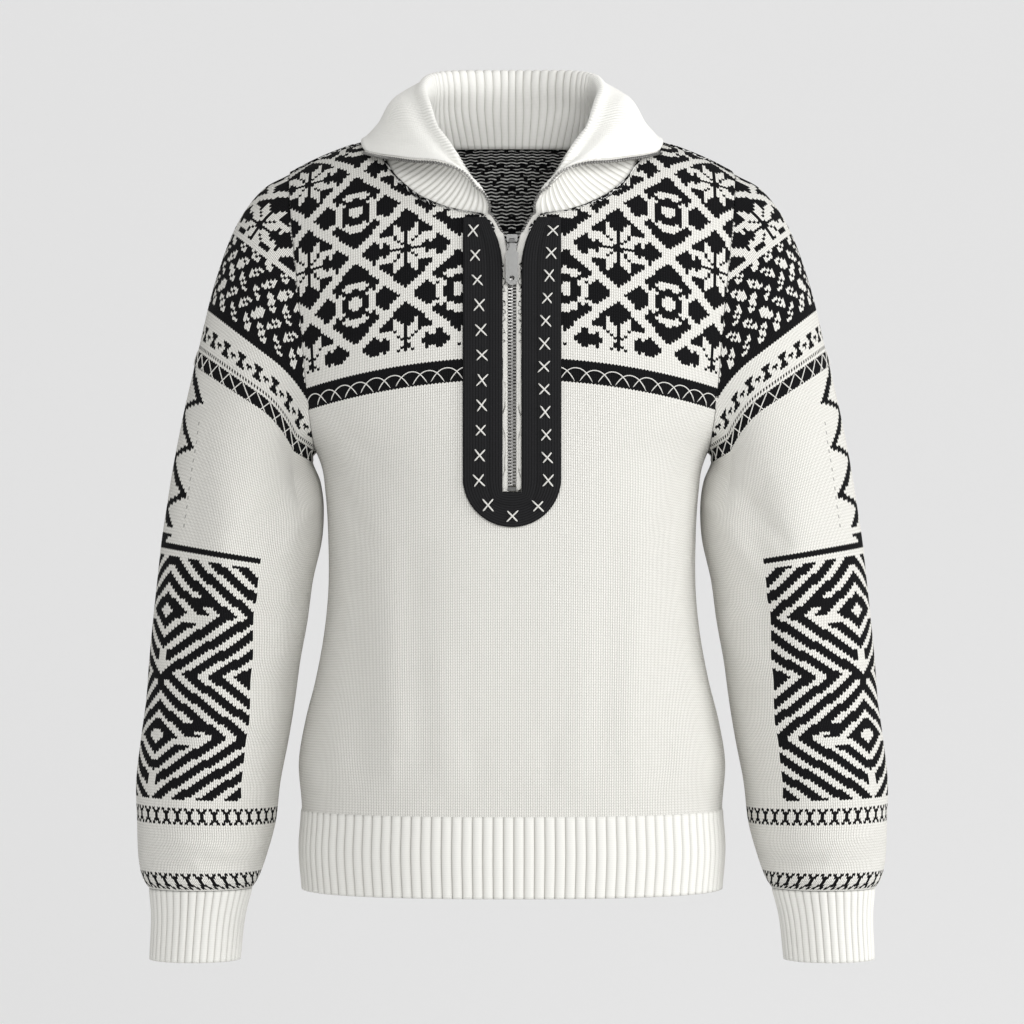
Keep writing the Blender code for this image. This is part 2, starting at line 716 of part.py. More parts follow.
def zip_halves(collar_end, tape_material, metal):
    """Each tape runs from the foot of the slot to the corner of the collar, with teeth where it is open."""
    path = zip_path(collar_end)
    cloth = np.array([row[0] for row in path])
    teeth = np.array([row[1] for row in path])
    normals = np.array([row[2] for row in path])
    inward = unit(teeth - cloth)
    for side, mirror in (("right", -1), ("left", 1)):
        strip(f"zip_tape_{side}", cloth, teeth, normals, TAPE_THICK, mirror, tape_material)
        start = (teeth + SEAM_GAP * inward)[ZIP_CLOSED_ROWS:]
        end = (teeth + (SEAM_GAP + TEETH_HALF) * inward)[ZIP_CLOSED_ROWS:]
        strip(f"zip_teeth_{side}", start, end, normals[ZIP_CLOSED_ROWS:], TEETH_THICK, mirror, metal)
    stop_top = ZIP_FOOT_Z + STOP_HEIGHT
    chain_top = SLIDER_Z - SLIDER_LENGTH / 2 - SEAM_GAP
    middle_strip("zip_chain", stop_top + SEAM_GAP, chain_top, TEETH_THICK, metal)
    middle_strip("zip_stop", ZIP_FOOT_Z, stop_top, TEETH_THICK + 2 * STOP_PROUD, metal)


def slider_frame():
    """Axes at the slider: X across, Y up along the cloth, Z out of it, in metres."""
    point = torso_point(0.0, SLIDER_Z, -1)
    out = Vector(torso_normal(0.0, SLIDER_Z, -1))
    across_x = Vector((1.0, 0.0, 0.0))
    up = out.cross(across_x)
    frame = Matrix((across_x, up, out)).transposed().to_4x4()
    frame.translation = Vector(point) * MM
    return frame


def box_shape(bm, low, high):
    """A box between two corners, in millimetres. Returns its vertices."""
    low, high = Vector(low), Vector(high)
    made = bmesh.ops.create_cube(bm, size=1.0)["verts"]
    bmesh.ops.scale(bm, vec=(high - low) * MM, verts=made)
    bmesh.ops.translate(bm, vec=(low + high) / 2 * MM, verts=made)
    return made


def rod_shape(bm, radius, half, segments=14):
    """A rod along X through the local origin. Returns its vertices."""
    made = bmesh.ops.create_cone(
        bm, cap_ends=True, segments=segments, radius1=radius * MM, radius2=radius * MM, depth=2 * half * MM
    )["verts"]
    bmesh.ops.rotate(bm, cent=(0, 0, 0), matrix=Matrix.Rotation(math.pi / 2, 3, "Y"), verts=made)
    return made


def metal_piece(name, build, matrix, material, hidden=False):
    bm = bmesh.new()
    build(bm)
    bmesh.ops.recalc_face_normals(bm, faces=bm.faces)
    mesh = bpy.data.meshes.new(name)
    bm.to_mesh(mesh)
    bm.free()
    obj = bpy.data.objects.new(name, mesh)
    obj.matrix_world = matrix
    (helpers if hidden else garment).objects.link(obj)
    if hidden:
        obj.hide_render = True
        obj.display_type = "WIRE"
    else:
        mesh.materials.append(material)
    return obj


def join_with(obj, other, operation):
    modifier = obj.modifiers.new(f"{operation.lower()} {other.name}", "BOOLEAN")
    modifier.operation = operation
    modifier.object = other


def slider(metal):
    """The slider: a tapered body over the teeth, and a bridge that the tab hangs on."""
    frame = slider_frame()

    def body(bm):
        verts = box_shape(
            bm,
            (-SLIDER_HALF_TOP, -SLIDER_LENGTH / 2, -TAPE_SINK + SEAM_GAP),
            (SLIDER_HALF_TOP, SLIDER_LENGTH / 2, SLIDER_FACE),
        )
        for vert in verts:
            if vert.co.y < 0:
                vert.co.x *= SLIDER_HALF_FOOT / SLIDER_HALF_TOP
        edges = [e for e in bm.edges if abs(e.verts[0].co.z - e.verts[1].co.z) > 1e-6]
        bmesh.ops.bevel(
            bm, geom=edges, offset=SLIDER_CORNER * MM, segments=2, profile=0.5, affect="EDGES", material=-1
        )

    def core(bm):
        foot, top = SLIDER_CORE_SETBACK
        low = (-SLIDER_CORE_HALF, foot - SLIDER_LENGTH / 2, -SLIDER_CORE)
        box_shape(bm, low, (SLIDER_CORE_HALF, SLIDER_LENGTH / 2 - top, SLIDER_OVERLAP))

    def bridge(bm):
        for x in (-POST_X, POST_X):
            low = (x - POST_SIDE / 2, -POST_SIDE / 2, SLIDER_FACE - SLIDER_OVERLAP)
            high = (x + POST_SIDE / 2, POST_SIDE / 2, BAR_OUT + BAR_RADIUS)
            box_shape(bm, low, high)

    def bar(bm):
        verts = rod_shape(bm, BAR_RADIUS, POST_X)
        bmesh.ops.translate(bm, vec=(0, 0, BAR_OUT * MM), verts=verts)

    piece = metal_piece("slider", body, frame, metal)
    for name, build in (("slider_core", core), ("slider_posts", bridge), ("slider_bar", bar)):
        join_with(piece, metal_piece(name, build, frame, metal, hidden=True), "UNION")
    return frame


def pull_tab(frame, metal):
    """The tab, with its origin on the bridge's bar, leaning in until it lies over the teeth."""
    hinge = frame @ Matrix.Translation((0, 0, BAR_OUT * MM)) @ Matrix.Rotation(TAB_LEAN, 4, "X")

    def plate(bm):
        side = (
            (TAB_NECK_HALF, 0.0),
            (TAB_NECK_HALF, -TAB_NECK_LENGTH),
            (TAB_HALF, -TAB_NECK_LENGTH - TAB_SHOULDER),
            (TAB_HALF, TAB_HALF - TAB_LENGTH),
        )
        outline = [(-x, y) for x, y in side]
        for k in range(1, TAB_ROUND_STEPS):
            turn = math.pi * k / TAB_ROUND_STEPS
            outline.append((-TAB_HALF * math.cos(turn), side[-1][1] - TAB_HALF * math.sin(turn)))
        outline += side[::-1]
        verts = [bm.verts.new((x * MM, y * MM, -TAB_THICK / 2 * MM)) for x, y in outline]
        face = bm.faces.new(verts)
        made = bmesh.ops.extrude_face_region(bm, geom=[face])["geom"]
        top = [v for v in made if isinstance(v, bmesh.types.BMVert)]
        bmesh.ops.translate(bm, vec=(0, 0, TAB_THICK * MM), verts=top)

    def eye(bm):
        rod_shape(bm, EYE_RADIUS, EYE_HALF, segments=16)

    def bore(bm):
        rod_shape(bm, EYE_BORE, EYE_HALF + 1.0, segments=16)

    def hole(bm):
        verts = bmesh.ops.create_cone(
            bm,
            cap_ends=True,
            segments=16,
            radius1=TAB_HOLE_RADIUS * MM,
            radius2=TAB_HOLE_RADIUS * MM,
            depth=3 * TAB_THICK * MM,
        )["verts"]
        bmesh.ops.translate(bm, vec=(0, -(TAB_LENGTH - TAB_HOLE_FROM_END) * MM, 0), verts=verts)

    piece = metal_piece("pull_tab", plate, hinge, metal)
    join_with(piece, metal_piece("pull_tab_eye", eye, hinge, metal, hidden=True), "UNION")
    join_with(piece, metal_piece("pull_tab_bore", bore, hinge, metal, hidden=True), "DIFFERENCE")
    join_with(piece, metal_piece("pull_tab_hole", hole, hinge, metal, hidden=True), "DIFFERENCE")
    return hinge


# Making the objects.


def wall(name, face, back, material, step=1, ring=False, keep=None):
    """A closed wall between two grids of points, in millimetres.

    The face has step columns for each column of the back. keep says which cells of the back are
    cloth, and every free side of a kept cell gets a rim.
    """
    bm = bmesh.new()
    front = [[bm.verts.new(Vector(p) * MM) for p in row] for row in face]
    rear = [[bm.verts.new(Vector(p) * MM) for p in row] for row in back]
    rows, cells = len(front) - 1, len(rear[0]) if ring else len(rear[0]) - 1
    width, rear_width = len(front[0]), len(rear[0])
    if keep is None:
        keep = np.ones((rows, cells), bool)

    def kept(i, j):
        if ring:
            j %= cells
        return 0 <= i < rows and 0 <= j < cells and keep[i, j]

    for i in range(rows):
        for j in range(cells):
            if not kept(i, j):
                continue
            spans = [(j * step + k) % width for k in range(step + 1)]
            near, far = j, (j + 1) % rear_width
            for left, right in zip(spans, spans[1:]):
                bm.faces.new((front[i][left], front[i][right], front[i + 1][right], front[i + 1][left]))
            bm.faces.new((rear[i][far], rear[i][near], rear[i + 1][near], rear[i + 1][far]))
            for row, beyond in ((i, i - 1), (i + 1, i + 1)):
                if not kept(beyond, j):
                    bm.faces.new([front[row][k] for k in spans] + [rear[row][far], rear[row][near]])
            for edge, rear_edge, beyond in ((spans[0], near, j - 1), (spans[-1], far, j + 1)):
                if not kept(i, beyond):
                    bm.faces.new((front[i][edge], front[i + 1][edge], rear[i + 1][rear_edge], rear[i][rear_edge]))
    loose = [v for v in bm.verts if not v.link_faces]
    bmesh.ops.delete(bm, geom=loose, context="VERTS")
    bmesh.ops.recalc_face_normals(bm, faces=bm.faces)
    mesh = bpy.data.meshes.new(name)
    bm.to_mesh(mesh)
    bm.free()
    mesh.materials.append(material)
    mesh.shade_smooth()
    mesh.set_sharp_from_angle(angle=math.radians(50))
    obj = bpy.data.objects.new(name, mesh)
    garment.objects.link(obj)
    return obj


def surface_material(name, colour, roughness, metallic=0.0):
    material = bpy.data.materials.new(name)
    material.use_nodes = True
    shader = material.node_tree.nodes["Principled BSDF"]
    shader.inputs["Base Color"].default_value = (*colour, 1.0)
    shader.inputs["Roughness"].default_value = roughness
    shader.inputs["Metallic"].default_value = metallic
    return material


def collection(name):
    made = bpy.data.collections.new(name)
    bpy.context.scene.collection.children.link(made)
    return made


def build():
    ivory = surface_material("ivory_knit", (0.80, 0.79, 0.74), 0.9)
    rib = surface_material("ivory_rib", (0.82, 0.81, 0.76), 0.9)
    black = surface_material("black_knit", (0.012, 0.012, 0.013), 0.9)
    tape = surface_material("zip_tape", (0.70, 0.69, 0.65), 0.8)
    metal = surface_material("zip_metal", (0.62, 0.62, 0.62), 0.3, 1.0)

    front = body_panel("front", -1, FRONT_COLUMNS, ivory)
    back = body_panel("back", 1, BACK_COLUMNS, ivory)
    for side, mirror in (("right", -1), ("left", 1)):
        sleeve(f"sleeve_{side}", mirror, ivory)
        cuff(f"cuff_{side}", mirror, rib)
    hem_rib(rib)
    collar_end = collar(front, back, rib)
    placket(black)
    zip_halves(collar_end, tape, metal)
    frame = slider(metal)
    pull_tab(frame, metal)


for old in list(bpy.data.objects):
    bpy.data.objects.remove(old)
garment = collection("half_zip_pullover")
helpers = collection("helpers")
build()
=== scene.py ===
import math

import bmesh
import bpy
import numpy as np
from mathutils import Matrix, Vector


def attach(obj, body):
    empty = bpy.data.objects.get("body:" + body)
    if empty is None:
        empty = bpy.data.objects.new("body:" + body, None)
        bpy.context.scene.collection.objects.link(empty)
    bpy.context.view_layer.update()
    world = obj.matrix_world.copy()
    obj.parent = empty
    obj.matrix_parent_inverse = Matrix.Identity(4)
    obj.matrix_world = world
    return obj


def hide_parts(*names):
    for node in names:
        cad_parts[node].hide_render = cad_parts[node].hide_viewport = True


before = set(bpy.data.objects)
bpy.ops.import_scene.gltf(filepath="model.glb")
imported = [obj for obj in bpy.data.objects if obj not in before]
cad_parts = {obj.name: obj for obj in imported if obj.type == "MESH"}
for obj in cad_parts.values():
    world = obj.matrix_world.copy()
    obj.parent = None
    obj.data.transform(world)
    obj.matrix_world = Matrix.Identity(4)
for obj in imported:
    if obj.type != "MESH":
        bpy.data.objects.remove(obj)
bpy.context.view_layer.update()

mm = 0.001
seamGap = 0.3
mirrorX = np.array((-1.0, 1.0, 1.0))
print("frame loaded:", len(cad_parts), "nodes")


# smooth curve through points, y may be a vector for each x
def smoothCurve(x, y, at):
    x, y = np.asarray(x, float), np.asarray(y, float)
    slope = np.gradient(y, x, axis=0)
    at = np.clip(at, x[0], x[-1])
    i = np.clip(np.searchsorted(x, at, side="right") - 1, 0, len(x) - 2)
    width = x[i + 1] - x[i]
    t = (at - x[i]) / width
    if y.ndim > 1:
        t, width = np.asarray(t)[..., None], np.asarray(width)[..., None]
    return (
        (1 + 2 * t) * (1 - t) ** 2 * y[i]
        + t * (1 - t) ** 2 * width * slope[i]
        + t**2 * (3 - 2 * t) * y[i + 1]
        + t**2 * (t - 1) * width * slope[i + 1]
    )


def unit(v):
    return v / np.maximum(np.linalg.norm(v, axis=-1, keepdims=True), 1e-9)


def ease(t):
    t = np.clip(t, 0.0, 1.0)
    return t * t * (3 - 2 * t)


def runLength(points):
    steps = np.linalg.norm(np.diff(points, axis=0), axis=1)
    return np.concatenate(([0.0], np.cumsum(steps)))


# a socket that takes part in sums; node() makes any other node
class Wire:
    def __init__(self, tree, socket=None):
        self.tree, self.socket = tree, socket

    def node(self, kind, settings=None, inputs=None, out=0):
        made = self.tree.nodes.new(kind)
        for key, value in (settings or {}).items():
            setattr(made, key, value)
        for key, value in (inputs or {}).items():
            if isinstance(value, Wire):
                self.tree.links.new(value.socket, made.inputs[key])
            else:
                made.inputs[key].default_value = value
        return Wire(self.tree, made.outputs[out])

    def maths(self, operation, *values):
        return self.node("ShaderNodeMath", {"operation": operation}, dict(enumerate(values)))

    def __add__(self, other):
        return self.maths("ADD", self, other)

    def __radd__(self, other):
        return self.maths("ADD", other, self)

    def __sub__(self, other):
        return self.maths("SUBTRACT", self, other)

    def __rsub__(self, other):
        return self.maths("SUBTRACT", other, self)

    def __mul__(self, other):
        return self.maths("MULTIPLY", self, other)

    def __rmul__(self, other):
        return self.maths("MULTIPLY", other, self)

    def __pow__(self, other):
        return self.maths("POWER", self, other)

    def __abs__(self):
        return self.maths("ABSOLUTE", self)

    def fract(self):
        return self.maths("FRACT", self)

    def above(self, limit):
        return self.maths("GREATER_THAN", self, limit)

    def below(self, limit):
        return self.maths("LESS_THAN", self, limit)

    def into(self, target):
        self.tree.links.new(self.socket, target)


def mixColour(factor, low, high):
    inputs = {"Factor": factor, 6: low, 7: high}
    return factor.node("ShaderNodeMix", {"data_type": "RGBA"}, inputs, out=2)


def startFinish(name, roughness, metallic=0.0):
    material = bpy.data.materials.new(name)
    material.use_nodes = True
    shader = material.node_tree.nodes["Principled BSDF"]
    shader.inputs["Roughness"].default_value = roughness
    shader.inputs["Metallic"].default_value = metallic
    shader.inputs["Specular IOR Level"].default_value = 0.5 if metallic else 0.08
    return material, shader, Wire(material.node_tree)


# how far across and along the knit a point lies
def stitchPlace(wire):
    place = wire.node("ShaderNodeUVMap", {"uv_map": "stitches"})
    return [wire.node("ShaderNodeSeparateXYZ", inputs={0: place}, out=k) for k in (0, 1)]


def noise(wire, scale, detail):
    spot = wire.node("ShaderNodeTexCoord", out=3)
    return wire.node("ShaderNodeTexNoise", inputs={"Vector": spot, "Scale": scale, "Detail": detail})


def addRelief(wire, shader, height, distance, strength):
    inputs = {"Height": height, "Distance": distance, "Strength": strength}
    wire.node("ShaderNodeBump", inputs=inputs).into(shader.inputs["Normal"])


yarn = {
    "ivory": (0.86, 0.85, 0.81, 1),
    # painted shade: the gap colours darken the yarn between the legs and rows of each stitch
    "ivoryGapPaintedShade": (0.36, 0.35, 0.31, 1),
    "ivoryShade": (0.66, 0.64, 0.58, 1),
    "black": (0.010, 0.010, 0.011, 1),
    "blackGapPaintedShade": (0.0015, 0.0015, 0.0015, 1),
    "float": (0.70, 0.70, 0.68, 1),
    "reliefDepth": 0.0007,
}


# knitted cloth: the UV map counts legs of stitches across and rows up; the gaps between legs and rows get painted
# shade
def knitFinish(name, charted=True, relief=1.0, purl=False, light=None, gap=None):
    material, shader, wire = startFinish(name, 0.92)
    u, v = stitchPlace(wire)
    fuzz = noise(wire, 1400.0, 2.0)
    if purl:
        across = 1 - abs((u * 0.5 + 0.25).fract() * 2 - 1) ** 4.0
        along = 1 - abs(v.fract() * 2 - 1) ** 2.0
    elif light:
        # a rib is two legs wide, broad and pale, with painted shade in its narrow trough
        across = 1 - (1 - abs((u * 0.5).fract() * 2 - 1)) ** 4.0
        along = 1 - abs(v.fract() * 2 - 1) ** 4.0 * 0.25
    else:
        across = 1 - abs(u.fract() * 2 - 1) ** 2.0
        along = 1 - abs(v.fract() * 2 - 1) ** 4.0 * 0.6
    leg = (across * along) ** 0.7
    # painted shade: the yarn darkens towards the gaps between legs and rows, by the leg shape that also makes the bump
    cloth = mixColour(leg, gap or yarn["ivoryGapPaintedShade"], light or yarn["ivory"])
    if not light:
        cloth = mixColour(noise(wire, 14.0, 3.0) * 0.10, cloth, yarn["ivoryShade"])
    if charted:
        # the black yarn gets the same painted shade between its legs
        dark = mixColour(leg * 0.8 + fuzz * 0.3, yarn["blackGapPaintedShade"], yarn["black"])
        charts = wire.node("ShaderNodeAttribute", {"attribute_name": "chart"}, out=2)
        cloth = mixColour(charts.above(0.25) if purl else charts, cloth, dark)
    if charted and purl:
        # floats of the light yarn lie in wavy rows on the wrong side
        wave = (u * 1.05).maths("SINE", u * 1.05) * 0.16 + fuzz * 0.12
        floats = (v * 0.72 + wave).fract().below(0.36) * charts.below(0.75)
        cloth = mixColour(floats * charts.above(0.25), cloth, yarn["float"])
    cloth.into(shader.inputs["Base Color"])
    addRelief(wire, shader, leg + fuzz * 0.22, yarn["reliefDepth"] * relief, 0.9)
    return material


# turns a finished bmesh into a piece, by itself part of the garment
def addPiece(name, bm, material, staged=False):
    mesh = bpy.data.meshes.new(name)
    bm.to_mesh(mesh)
    bm.free()
    mesh.materials.append(material)
    piece = bpy.data.objects.new(name, mesh)
    bpy.context.scene.collection.objects.link(piece)
    if staged:
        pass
    else:
        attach(piece, "garment")
    return piece


# a grid of points in millimetres becomes cloth; chart says which cells are black
def clothPiece(name, points, material, chart=None, legs=(1.0, 1.0), dropped=None, turnOver=False):
    rows, columns = points.shape[:2]
    mesh = bpy.data.meshes.new("grid")
    bm = bmesh.new()
    bmesh.ops.create_grid(bm, x_segments=columns - 1, y_segments=rows - 1, size=0.5)
    bm.to_mesh(mesh)
    bm.free()
    mesh.vertices.foreach_set("co", (points * mm).ravel())
    corners = np.empty(len(mesh.loops), int)
    mesh.loops.foreach_get("vertex_index", corners)
    i, j = np.divmod(corners, columns)
    uvs = np.stack((j * legs[0], i * legs[1]), axis=1)
    layer = mesh.uv_layers.new(name="stitches")
    layer.data.foreach_set("uv", uvs.astype(np.float32).ravel())
    cellRow, cellColumn = i.reshape(-1, 4).min(axis=1), j.reshape(-1, 4).min(axis=1)
    if chart is not None:
        shade = mesh.attributes.new("chart", "FLOAT", "FACE")
        shade.data.foreach_set("value", chart[cellRow, cellColumn].astype(np.float32))
    bm = bmesh.new()
    bm.from_mesh(mesh)
    bpy.data.meshes.remove(mesh)
    if dropped is not None:
        bm.faces.ensure_lookup_table()
        gone = [bm.faces[k] for k in np.nonzero(dropped[cellRow, cellColumn])[0]]
        bmesh.ops.delete(bm, geom=gone, context="FACES")
    bmesh.ops.remove_doubles(bm, verts=bm.verts, dist=0.02 * mm)
    loose = [v for v in bm.verts if not v.link_faces]
    bmesh.ops.delete(bm, geom=loose, context="VERTS")
    if turnOver:
        bmesh.ops.reverse_faces(bm, faces=bm.faces)
    for face in bm.faces:
        face.smooth = True
    return addPiece(name, bm, material)


# moves a single layer of cloth along its own normals
def moveOut(piece, distance):
    mesh = piece.data
    co = np.empty(len(mesh.vertices) * 3)
    mesh.vertices.foreach_get("co", co)
    normals = np.array([n.vector for n in mesh.vertex_normals])
    mesh.vertices.foreach_set("co", (co.reshape(-1, 3) + distance * mm * normals).ravel())
    mesh.update()


def thicken(piece, thickness, offset=-1.0):
    shell = piece.modifiers.new("thickness", "SOLIDIFY")
    shell.thickness = thickness * mm
    shell.offset = offset
    shell.use_even_offset = False


knit = {
    "leg": 1.5, "row": 2.3, "slant": 0.5, "droop": 24.5, "foot": -557.5, "top": 150.0, "seamStitches": 1.5,
    "bodyReach": 262.0, "sleeveReach": 300.0,
    # the wrong side is a layer of its own, with coarser rows below the yoke
    "inset": 2.2, "bodyInside": 3.4, "sleeveInside": (8.5, 7.8), "plainRow": 13.0, "yokeFrom": -200.0,
}

torso = {
    "z": (-625, -590, -557.5, -517, -483, -449, -415, -380, -330, -289, -268, -256, -230, -200, -150, -100, -50, 30),
    "halfWidth": (
        178, 180.5, 178.5, 181, 175.5, 167, 160.5, 156.5, 156, 158.5, 161.5, 166, 183, 195, 206, 211, 213, 214,
    ),
    "front": (108, 110, 110, 112, 110, 107, 104, 102, 103, 105, 107, 108, 109.5, 110.5, 111, 110, 110, 110),
    "back": (110, 112, 112, 114, 112, 108, 104, 101, 101, 104, 106, 108, 110, 112, 113, 113, 113, 113),
    "squareness": 2.4, "rollStart": -190.0, "rollPower": {-1: 2.2, 1: 3.4}, "seamTurn": 0.72, "foldFade": 50.0,
    "ridgeX": (0, 60, 90, 112, 143, 165, 189),
    "ridgeZ": (28, 25.5, 19, 11.5, 2, -7, -19),
    "armholeZ": (-256, -235, -210, -150, -100, -50, -19),
    "armholeX": (166, 168.5, 171, 176, 181, 186.5, 189),
    "underarm": -256.0, "shoulderTip": -19.0,
    "neckHalf": 112.0, "neckFront": -61.0, "neckSide": 11.5, "neckBack": 11.0,
    "slotHalf": 7.5, "slotTopHalf": 22.0, "slotFoot": -288.7, "slotSpread": -110.0,
    # each fold runs between two points seen from the front: x, z, x, z, half width, rise
    "folds": {
        -1: (
            (146, -280, 126, -520, 19, -3.8), (112, -310, 98, -490, 18, 2.4), (158, -262, 120, -330, 8, -1.7),
            (150, -300, 138, -400, 7, 1.3), (84, -350, 78, -520, 16, -1.1), (60, -430, 52, -540, 13, 0.9),
            (170, -470, 150, -548, 9, -1.5), (128, -505, 122, -550, 8, -1.2), (100, -515, 97, -552, 7, 0.9),
            (30, -500, 27, -550, 9, -0.7), (150, -225, 118, -262, 9, -1.2),
        ),
        1: (
            (140, -280, 120, -520, 21, -4.4), (62, -230, 44, -480, 26, -3.6), (160, -262, 118, -340, 9, -2.0),
            (100, -260, 88, -470, 14, 1.6), (24, -300, 18, -500, 12, 1.3), (150, -470, 142, -550, 9, -1.6),
            (84, -480, 80, -552, 9, -1.3), (120, -120, 96, -230, 14, -1.4), (40, -60, 30, -160, 16, -1.2),
        ),
    },
}


# how far the folds on one side lift the cloth
def foldRise(folds, x, z):
    total = 0.0
    for startX, startZ, endX, endZ, halfWidth, rise in folds:
        runX, runZ = endX - startX, endZ - startZ
        share = np.clip(((np.abs(x) - startX) * runX + (z - startZ) * runZ) / (runX**2 + runZ**2), 0, 1)
        gap = np.hypot(np.abs(x) - startX - share * runX, z - startZ - share * runZ) / halfWidth
        total = total + rise * np.exp(-gap * gap)
    return total


def ridgeHeight(x):
    return smoothCurve(torso["ridgeX"], torso["ridgeZ"], np.abs(x))


def armholeOut(z):
    return smoothCurve(torso["armholeZ"], torso["armholeX"], z)


def panelEdge(z):
    below = smoothCurve(torso["z"], torso["halfWidth"], z)
    return np.where(z <= torso["underarm"], below, armholeOut(z))


def standOff(x, z, side):
    half = smoothCurve(torso["z"], torso["halfWidth"], z)
    stand = smoothCurve(torso["z"], torso["front" if side < 0 else "back"], z)
    stand = stand + foldRise(torso["folds"][side], x, z) * ease((z - knit["foot"]) / torso["foldFade"])
    power = torso["squareness"]
    bulge = np.clip(1 - np.abs(x / half) ** power, 0, None) ** (1 / power)
    start = torso["rollStart"]
    rise = np.clip((z - start) / (ridgeHeight(x) - start), 0, None)
    power = torso["rollPower"][side]
    return stand * bulge * np.clip(1 - rise**power, 0, None) ** (1 / power)


# how far forward or back the cloth lies, with room for the side seams
def bodyY(x, z, side):
    return side * np.maximum(standOff(x, z, side), seamGap / 2)


def bodyNormal(x, z, side, step=0.4):
    def square(p, q):
        return standOff(p, q, side) ** 2

    slopeX = (square(x + step, z) - square(x - step, z)) / (2 * step)
    slopeZ = (square(x, z + step) - square(x, z - step)) / (2 * step)
    stand = standOff(x, z, side)
    stand = np.where(stand > 1.0, stand, 0.0)
    return unit(np.stack((-slopeX, 2 * side * stand, -slopeZ), axis=-1))


def slotHalf(z):
    spread = np.clip((z - torso["slotSpread"]) / (torso["neckFront"] - torso["slotSpread"]), 0, 1)
    return torso["slotHalf"] + (torso["slotTopHalf"] - torso["slotHalf"]) * spread**2.4


def neckHeight(x, side):
    if side > 0:
        return np.full_like(x, torso["neckBack"])
    drop = np.clip(1 - np.abs(x / torso["neckHalf"]) ** 2.4, 0, None) ** 0.5
    return torso["neckSide"] - (torso["neckSide"] - torso["neckFront"]) * drop


def topHeight(x, side):
    return np.where(np.abs(x) >= torso["neckHalf"], ridgeHeight(x), neckHeight(x, side))


# a point lying on the front, moved out from the cloth
def onFront(x, z, out):
    x, z = np.asarray(x, float), np.asarray(z, float)
    point = np.stack((np.abs(x), -standOff(np.abs(x), z, -1), z), axis=-1)
    point = point + np.asarray(out)[..., None] * bodyNormal(np.abs(x), z, -1)
    return point * np.stack((np.where(x < 0, -1.0, 1.0), np.ones_like(x), np.ones_like(x)), axis=-1)


# the knit rows of a panel follow the cloth up and over the shoulder; legs are counted from the middle
def panelGrid(side, legStep, heights, count):
    start = torso["rollStart"]
    share = np.sin(np.linspace(0, math.pi / 2, 260))
    across, table = np.linspace(0, 190, 96), []
    for x in across:
        z = start + (float(ridgeHeight(x)) - start) * share
        length = start + runLength(np.stack((standOff(np.full_like(z, x), z, side), z), axis=1))
        lowered = heights - knit["droop"] * (x / 173) ** 2 * ease((heights - knit["foot"]) / 330)
        table.append(np.where(lowered < start, lowered, np.interp(lowered, length, z)))
    legs = np.arange(count + 1) * legStep
    grid = np.zeros((len(heights), count + 1, 3))
    for i, line in enumerate(np.array(table).T):
        z = heights[i]
        for _ in range(4):
            reach = float(panelEdge(np.array(z)))
            z = float(np.interp(reach, across, line))
        x = reach * np.sin(np.linspace(0, math.pi / 2, 200))
        z = np.interp(x, across, line)
        along = runLength(np.stack((x, standOff(x, z, side), z), axis=1))
        grid[i, :, 0] = np.interp(legs, along, x)
        grid[i, :, 2] = np.interp(grid[i, :, 0], across, line)
    return grid


def bodyPanel(name, side, legStep, rowStep, material, chart, inside=False):
    half = int(knit["bodyReach"] / legStep / 2) * 2
    if inside:
        low = np.arange(knit["foot"], knit["yokeFrom"], knit["plainRow"])
        heights = np.concatenate((low, np.arange(knit["yokeFrom"], knit["top"], rowStep)))
    else:
        heights = np.arange(knit["foot"], knit["top"], rowStep)
    grid = panelGrid(side, legStep, heights, half)
    if not inside:
        # every other column hangs a little lower, which makes each pair of cells a V
        lowered = np.maximum(heights - knit["slant"] * rowStep, knit["foot"])
        grid[:, 1::2] = panelGrid(side, legStep, lowered, half)[:, 1::2]
    x, z = grid[..., 0], grid[..., 2]
    seam = (topHeight(x, side) - z < knit["seamStitches"]) & (x < torso["neckHalf"])
    z = np.minimum(z, topHeight(x, side))
    x = np.minimum(x, panelEdge(z))
    if side < 0:
        slotted = (z > torso["slotFoot"]) & (np.arange(x.shape[1]) > 0)
        x = np.where(slotted, np.maximum(x, slotHalf(z)), x)
    right = np.stack((x, bodyY(x, z, side), z), axis=-1)
    points = np.concatenate((right[:, :0:-1] * mirrorX, right), axis=1)
    dropped = np.zeros((len(heights) - 1, 2 * half), bool)
    if side < 0:
        above = right[1:, 0, 2] > torso["slotFoot"]
        dropped[:, half - 1] = above
        dropped[:, half] = above
    p = (np.arange(2 * half) - half + 0.5) * legStep
    shades = chart(np.abs(p)[None, :], (heights[:-1] + rowStep / 2)[:, None], legStep, rowStep)
    if not inside:
        shades = np.where(np.concatenate((seam[:-1, :0:-1], seam[:-1, :-1]), axis=1), 0.0, shades)
    legs = (legStep / knit["leg"], 1.0)
    piece = clothPiece(name, points, material, shades, legs, dropped, turnOver=(side > 0) != inside)
    if inside:
        moveOut(piece, knit["inset"])
    return piece


def lineGap(p, q, a, b):
    ax, ay = a
    dx, dy = b[0] - ax, b[1] - ay
    t = np.clip(((p - ax) * dx + (q - ay) * dy) / (dx * dx + dy * dy), 0, 1)
    return np.hypot(p - ax - t * dx, q - ay - t * dy)


yoke = {
    "width": 88.0, "height": 80.0, "lattice": 3.7, "stroke": 3.1, "petal": 11.5,
    "ring": 15.5, "dot": 5.4, "cut": 2.4, "spur": (0.62, 0.38), "spurThick": 0.8,
    "foot": -167.5, "starsFrom": 8.0, "band": (-196.3, -179.0),
}
leaf = {"pitch": 17.0, "row": 12.5, "long": 7.6, "wide": 3.0, "vary": 0.5, "veinWide": 0.7, "veinLong": 3.4}


# eight pointed star: each petal is a small lozenge between an axis and a diagonal
def starShape(c, r, petal):
    high, low = np.maximum(c, np.abs(r)), np.minimum(c, np.abs(r))
    return (low > 0.9) & (low < petal) & (high - low > 1.3) & (high - low < petal)


